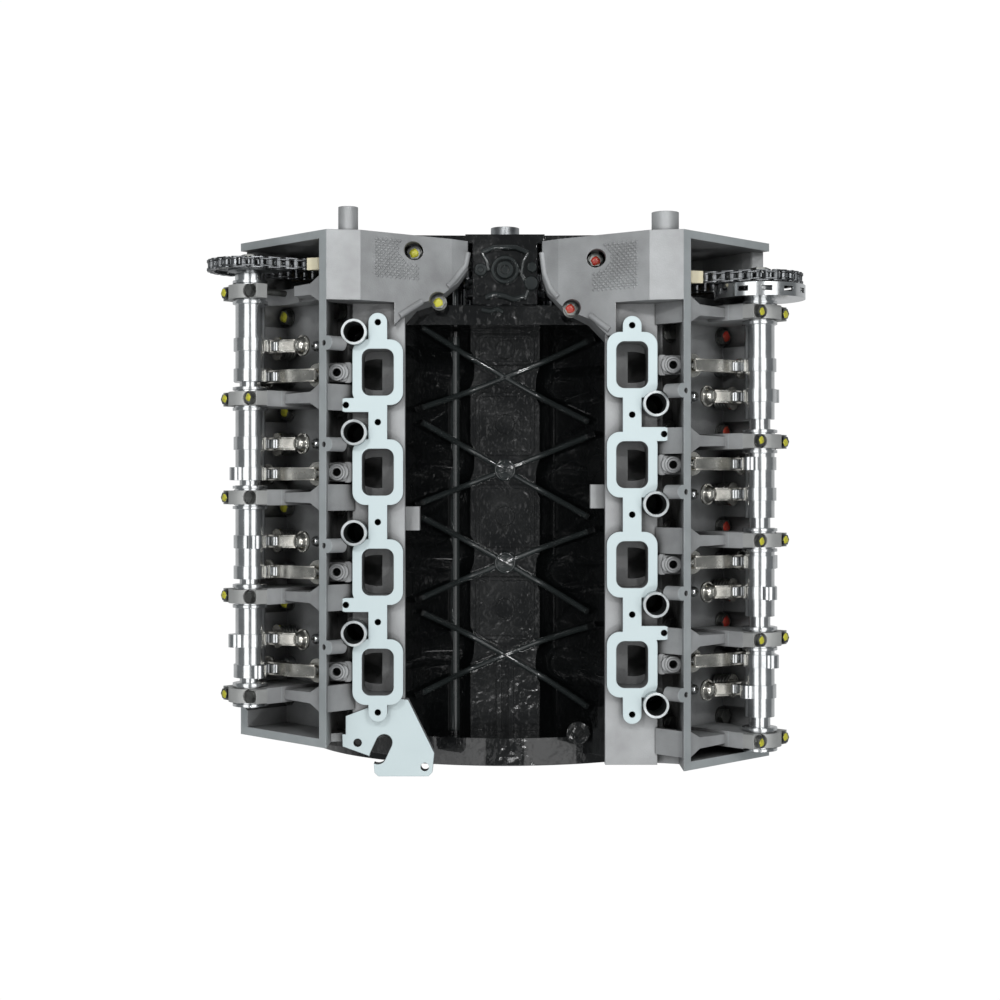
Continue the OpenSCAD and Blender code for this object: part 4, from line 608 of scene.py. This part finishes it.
INTAKE_CHEEK = ((45, 331), (45, 337), (30, 344), (20, 348.6), (8, 348.6), (-4, 347.6), (-20, 344.5),
                (-38, 338), (-44, 334.5), (-36, 334), (-20, 336), (2, 335), (14, 334), (26, 331))
INTAKE_PLATE = ((2, 348), (-8, 346.6), (-22, 343), (-36, 337.6), (-45, 335.6), (-46, 333.4),
                (-36, 333.4), (-22, 339.5), (-8, 343.4), (2, 344.6))
EXHAUST_CHEEK = ((36, 334), (37, 339), (24, 347), (16, 349), (6, 348.6), (-6, 345), (-16, 339),
                 (-17, 333), (2, 333), (14, 334), (24, 334))
EXHAUST_PLATE = ((2, 347.6), (-5, 344.6), (-12, 340.2), (-20, 336), (-20, 332.8), (-10, 337),
                 (-4, 340.6), (2, 343.6))
intake_shape, exhaust_shape = bmesh.new(), bmesh.new()
for side in (1, -1):
    for i in range(4):
        for shape, dy, cheek, plate, cup_u in (
                (intake_shape, side * VALVE_DY, INTAKE_CHEEK, INTAKE_PLATE, INTAKE_CUP_U),
                (exhaust_shape, -side * VALVE_DY, EXHAUST_CHEEK, EXHAUST_PLATE, EXHAUST_CUP_U)):
            follower(shape, bank_matrix(side) @ Matrix.Translation((0, bore_y(side, i) + dy, 0)),
                     cheek, plate, cup_u)
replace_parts(finish_piece("intake_follower_pressings", intake_shape, pressed_steel,
                         "block"), "intake_rockers")
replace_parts(finish_piece("exhaust_follower_pressings", exhaust_shape, pressed_steel,
                         "block"), "exhaust_rockers")


# Rib crests in the valley
# The crossed ribs and the oil gallery of the block have rounded crests under smooth paint. That paint
# is drawn dark grey rather than black as a painted highlight, so they show as pale lines with black on
# both sides.
CREST_PATH = ((0, 145.5), (34, 145.5), (42, 147.5), (52, 154), (62, 164), (75, 177), (92, 196))
CREST_R, GALLERY_R = 3.5 * MM, 5.6 * MM
GALLERY_X, GALLERY_Z = -57.5 * MM, 153 * MM
GALLERY_YS = range(34, 486, 45)
STEEP, SHALLOW = math.radians(29.7), math.radians(21.8)
CROSSING_BOSS = ((12.5, 140), (12.5, 148.6), (11.6, 149.6), (10.2, 149.6), (9.4, 148.2), (0.5, 148))
CROSSINGS_WITH_BOSS = (1, 2)
VALLEY_MIDDLE = REAR_BORE_Y + BANK_LEAD / 2


def bar(shape, points, radius, count):
    """Adds a round bar along a list of points."""
    points = [Vector(p) for p in points]
    rings = []
    for k, point in enumerate(points):
        along = points[min(k + 1, len(points) - 1)] - points[max(k - 1, 0)]
        across = along.cross(Vector((0, 0, 1))).normalized()
        rise = across.cross(along).normalized()
        rings.append([point + (across * math.cos(w) + rise * math.sin(w)) * radius
                      for w in (2 * math.pi * j / count for j in range(count))])
    loft(shape, rings, Matrix.Identity(4))


crest_shape = bmesh.new()
for i in range(4):
    middle_y = VALLEY_MIDDLE + i * BORE_PITCH
    for side, slope in ((-1, math.tan(STEEP)), (1, -math.tan(STEEP)),
                        (-1, -math.tan(SHALLOW)), (1, math.tan(SHALLOW))):
        bar(crest_shape, [(side * x * MM, middle_y + x * MM * slope, z * MM)
                          for x, z in CREST_PATH], CREST_R, 10)
    if i in CROSSINGS_WITH_BOSS:
        loft(crest_shape, [ring(r * MM, z * MM, y=middle_y) for r, z in CROSSING_BOSS],
             Matrix.Identity(4))
bar(crest_shape, [(GALLERY_X, y * MM, GALLERY_Z) for y in GALLERY_YS], GALLERY_R, 16)
# Painted highlight: the crests get a dark grey base in place of the block's black.
crest_paint_with_painted_highlight = gloss_black("gloss_black_with_painted_highlight_on_ribs", 9, 0.25, "#171A1A", "#2C3131")
finish_piece("valley_rib_crests", crest_shape, crest_paint_with_painted_highlight, "block", 50)


# Castings at the front of the valley
# The timing cover carries a plug in a raised ring, three small bosses and cast ridges. Each head leans
# over it with a lobe that has a rolled edge and an upper panel cast with a diamond knurl.
LOBE_FOOT_X, LOBE_FOOT_Z = 58, 246
LOBE_SLOPE, TOE_SLOPE = 66 / 94, 0.94
KNURL_PITCH, KNURL_HEIGHT, KNURL_DEPTH = 5.6, 1.3, 0.3
KNURL_FOOT, KNURL_TIP = 2.6, 0.8
KNURL_AREA = {1: (46, 106, 524, 576), -1: (44, 104, 536, 578)}
POCKET_X, POCKET_R = 98, 15
POCKET_Y = {1: 558, -1: 566}
ROLLED_EDGES = {1: (((41, 570), (44, 546), (51, 528), (58, 519)), ((92, 497), (112, 480))),
                -1: (((41, 570), (44, 555), (56, 538), (63, 530)), ((90, 512), (113, 495)))}
ROLLED_R, ROLLED_DEPTH = 3.6, 0.8


def lobe_matrix(side):
    return (Matrix.Diagonal((side, 1, 1, 1))
            @ Matrix.Translation((LOBE_FOOT_X * MM, 0, LOBE_FOOT_Z * MM))
            @ Matrix.Rotation(-math.atan(LOBE_SLOPE), 4, "Y"))


def knurl_stud(shape, turn, x, y):
    loft(shape, [[(px * MM, py * MM, height * MM)
                  for px, py in ((x + half, y), (x, y + half), (x - half, y), (x, y - half))]
                 for half, height in ((KNURL_FOOT, -KNURL_DEPTH), (KNURL_TIP, KNURL_HEIGHT))], turn)


lobe_shape = bmesh.new()
for side in (1, -1):
    turn = lobe_matrix(side)
    near, far_end, back_y, front_y = KNURL_AREA[side]
    for row in range(int((front_y - back_y) / (KNURL_PITCH / 2))):
        for column in range(int((far_end - near) / KNURL_PITCH)):
            x = near + (column + row % 2 / 2) * KNURL_PITCH
            y = back_y + row * KNURL_PITCH / 2
            place = (turn @ (Vector((x, y, 0)) * MM)) / MM
            if math.hypot(abs(place.x) - POCKET_X, place.y - POCKET_Y[side]) >= POCKET_R:
                knurl_stud(lobe_shape, turn, x, y)
    for edge in ROLLED_EDGES[side]:
        rises = [(x - LOBE_FOOT_X) * (LOBE_SLOPE if x > LOBE_FOOT_X else TOE_SLOPE) for x, y in edge]
        bar(lobe_shape, [(side * x * MM, y * MM, (LOBE_FOOT_Z + rise - ROLLED_DEPTH) * MM)
                         for (x, y), rise in zip(edge, rises)], ROLLED_R * MM, 16)
finish_piece("front_lobe_castings", lobe_shape, head_metal, "block", 30)

PLUG_AND_RING = ((16.5, 210), (16, 219), (15, 220.6), (12.6, 220.6), (11.4, 219.4), (11.2, 215),
                 (10.2, 215), (9.8, 218.4), (9, 219.2), (5.2, 219.2), (4.8, 218.4), (4.6, 216),
                 (0.5, 216))
DRILLED_BOSS = ((8, 208), (7.4, 218), (6.4, 219.4), (3.4, 219.4), (3, 218), (0.4, 218))
TALL_BOSS = ((9, 208), (8.4, 219), (7, 220.8), (0.4, 220.8))
LOW_BOSS = ((6.6, 208), (6, 217.4), (5, 218.6), (0.4, 218.6))
COVER_TOP_Z, SADDLE_Z, SADDLE_FRONT_Y = 216.4, 206.5, 515
RIDGES = ((2.4, ((-26, 572), (-20, 562), (-18, 552))),
          (2.4, ((26, 572), (20, 562), (18, 548))),
          (2.8, ((-26, 572), (-12, 578), (12, 578), (26, 572))),
          (3.2, ((-22, 522), (-12, 526), (0, 524), (10, 520), (22, 524))),
          (3.0, ((-26, 510), (-16, 508), (-8, 511), (-2, 507))),
          (2.6, ((18, 548), (26, 532), (22, 520))))

plug_shape = bmesh.new()
for x, y, profile in ((0, 553, PLUG_AND_RING), (-27, 553, DRILLED_BOSS), (29, 538, TALL_BOSS),
                      (30, 556, LOW_BOSS)):
    loft(plug_shape, [ring(r * MM, z * MM, 32, x * MM, y * MM) for r, z in profile],
         Matrix.Identity(4))
for radius, points in RIDGES:
    bar(plug_shape, [(x * MM, y * MM, (COVER_TOP_Z if y > SADDLE_FRONT_Y else SADDLE_Z) * MM)
                     for x, y in points], radius * MM, 12)
# The cover castings share the crest paint, so they carry the same painted highlight.
finish_piece("timing_cover_castings", plug_shape, crest_paint_with_painted_highlight, "block", 40)


# Walls and bosses between the rail and the intake flange
# The cover rail stands on a wall that drops to the floor of the head, and a square boss with a
# threaded hole is cast against it beside each port. They are cast in one with the head.
WALL_PROFILE = ((187.4, 303), (187.4, 262), (185.5, 248), (182, 243), (182, 238), (195, 230),
                (194, 262), (192, 302))
BOSS_X, BOSS_HALF_X, BOSS_HALF_Y = 179.5, 11.5, 10.5
BOSS_TAPER = ((2.5, 238), (0.8, 262), (0.0, 283.2), (-0.8, 284))
BOSS_BORE = ((9.4, 284), (9.2, 287.6), (8.6, 288), (7.0, 288), (6.6, 287), (4.5, 287), (4.3, 286.4),
             (4.3, 262))
BOSS_POINTS = 32
CORNER = 0.4
PORT_AHEAD = 15 * MM
WALL_BACK = {1: 20 * MM, -1: 44 * MM}
WALL_FRONT = 548 * MM


def rounded_square(half_x, half_y, height):
    points = []
    for k in range(BOSS_POINTS):
        a = 2 * math.pi * (k + 0.5) / BOSS_POINTS
        c, d = math.cos(a), math.sin(a)
        points.append((half_x * math.copysign(abs(c) ** CORNER, c),
                       half_y * math.copysign(abs(d) ** CORNER, d), height))
    return points


wall_shape = bmesh.new()
for side in (1, -1):
    flip = Matrix.Diagonal((side, 1, 1, 1))
    prism(wall_shape, [(x * MM, z * MM) for x, z in WALL_PROFILE], WALL_BACK[side], WALL_FRONT, flip)
    for i in range(4):
        rings = [rounded_square(BOSS_HALF_X + grow, BOSS_HALF_Y + grow, z) for grow, z in BOSS_TAPER]
        rings += [ring(r, z, BOSS_POINTS) for r, z in BOSS_BORE]
        rings = [[(x * MM, y * MM, z * MM) for x, y, z in points] for points in rings]
        loft(wall_shape, rings, flip @ Matrix.Translation(
            (BOSS_X * MM, bore_y(side, i) + side * PORT_AHEAD, 0)))
finish_piece("rail_walls_and_bosses", wall_shape, head_metal, "block", 40)


# Paint marks on the tightened bolts
# The rebuilder dabs each torqued bolt with a paint pen: yellow on the caps and the left head, red on
# the right head. The paint is thick, uneven and satin, and never quite central.
BRUSH_CLOUD_MM = 3


def dab_paint(name, code):
    made, tree, shader, place, _ = new_finish(name, 0.0, 0.35, 0.3)
    cloud = add(tree, "ShaderNodeTexNoise", {"Scale": 1 / (BRUSH_CLOUD_MM * MM), "Detail": 4},
                {"Vector": place})
    tone = add(tree, "ShaderNodeMix", {"A": linear(code), "B": linear("#6E6B3A")},
               data_type="RGBA")
    thin = add(tree, "ShaderNodeMapRange", {"From Min": 0.5, "From Max": 0.75, "To Max": 0.7},
               {"Value": cloud.outputs["Fac"]})
    tree.links.new(thin.outputs[0], tone.inputs["Factor"])
    tree.links.new(tone.outputs["Result"], shader.inputs["Base Color"])
    return made


dice = random.Random(8)
DAB_POINTS = 14
DAB_RAGGED = 0.12
DAB_PROFILE = ((1.0, 0.0), (0.85, 0.7), (0.45, 1.0))


def dab(shape, turn, radius, height):
    """Adds one ragged, domed dab, up to a millimetre off centre."""
    off = Vector((dice.uniform(-1, 1), dice.uniform(-1, 1), 0)) * MM
    rings = []
    for level, (r, z) in enumerate(DAB_PROFILE):
        rings.append([off + Vector((
            math.cos(2 * math.pi * j / DAB_POINTS) * radius * r
            * (1 + DAB_RAGGED * math.sin(3 * j + level)),
            math.sin(2 * math.pi * j / DAB_POINTS) * radius * r
            * (1 + DAB_RAGGED * math.cos(2 * j)),
            height * z)) for j in range(DAB_POINTS)])
    loft(shape, rings, turn)


CAP_YS = {1: [bore_y(1, 0) - 68 * MM] + [bore_y(1, i) + 40.5 * MM for i in range(3)]
             + [bore_y(1, 3) + 73 * MM],
          -1: [bore_y(-1, i) - 42 * MM for i in range(4)] + [bore_y(-1, 3) + 73 * MM]}
CAP_BOLT_DU = 22 * MM
CAP_BOLT_TOP = CAM_H + (14 + 4.9) * MM
HEAD_BOLT_U, HEAD_BOLT_TOP = 42 * MM, (302 + 7.7) * MM
FRONT_BOLT_TOPS = ((98, 566, 257.6), (72, 514, 243.6))
RIGHT_BOLTS_BACK = 8
INNER_MARKED = 0.3
yellow_dabs, red_dabs = bmesh.new(), bmesh.new()
for side in (1, -1):
    head_dabs = red_dabs if side > 0 else yellow_dabs
    for y in CAP_YS[side]:
        for u in (CAM_U + CAP_BOLT_DU, CAM_U - CAP_BOLT_DU):
            if u > CAM_U or dice.random() < INNER_MARKED:
                dab(yellow_dabs, bank_matrix(side) @ Matrix.Translation((u, y, CAP_BOLT_TOP)),
                    4.2 * MM, 0.9 * MM)
    for i in range(1, 5):
        y = bore_y(side, i) - BORE_PITCH / 2
        dab(head_dabs, bank_matrix(side) @ Matrix.Translation((HEAD_BOLT_U, y, HEAD_BOLT_TOP)),
            6 * MM, 1.2 * MM)
    for x, y, z in FRONT_BOLT_TOPS:
        back = RIGHT_BOLTS_BACK if side > 0 else 0
        dab(head_dabs, Matrix.Translation((side * x * MM, (y - back) * MM, z * MM)),
            5 * MM, 1.2 * MM)
finish_piece("yellow_paint_dabs", yellow_dabs, dab_paint("yellow_paint_pen", "#C9C53A"),
             "block", 60)
finish_piece("red_paint_dabs", red_dabs, dab_paint("red_paint_pen", "#B23227"),
             "block", 60)
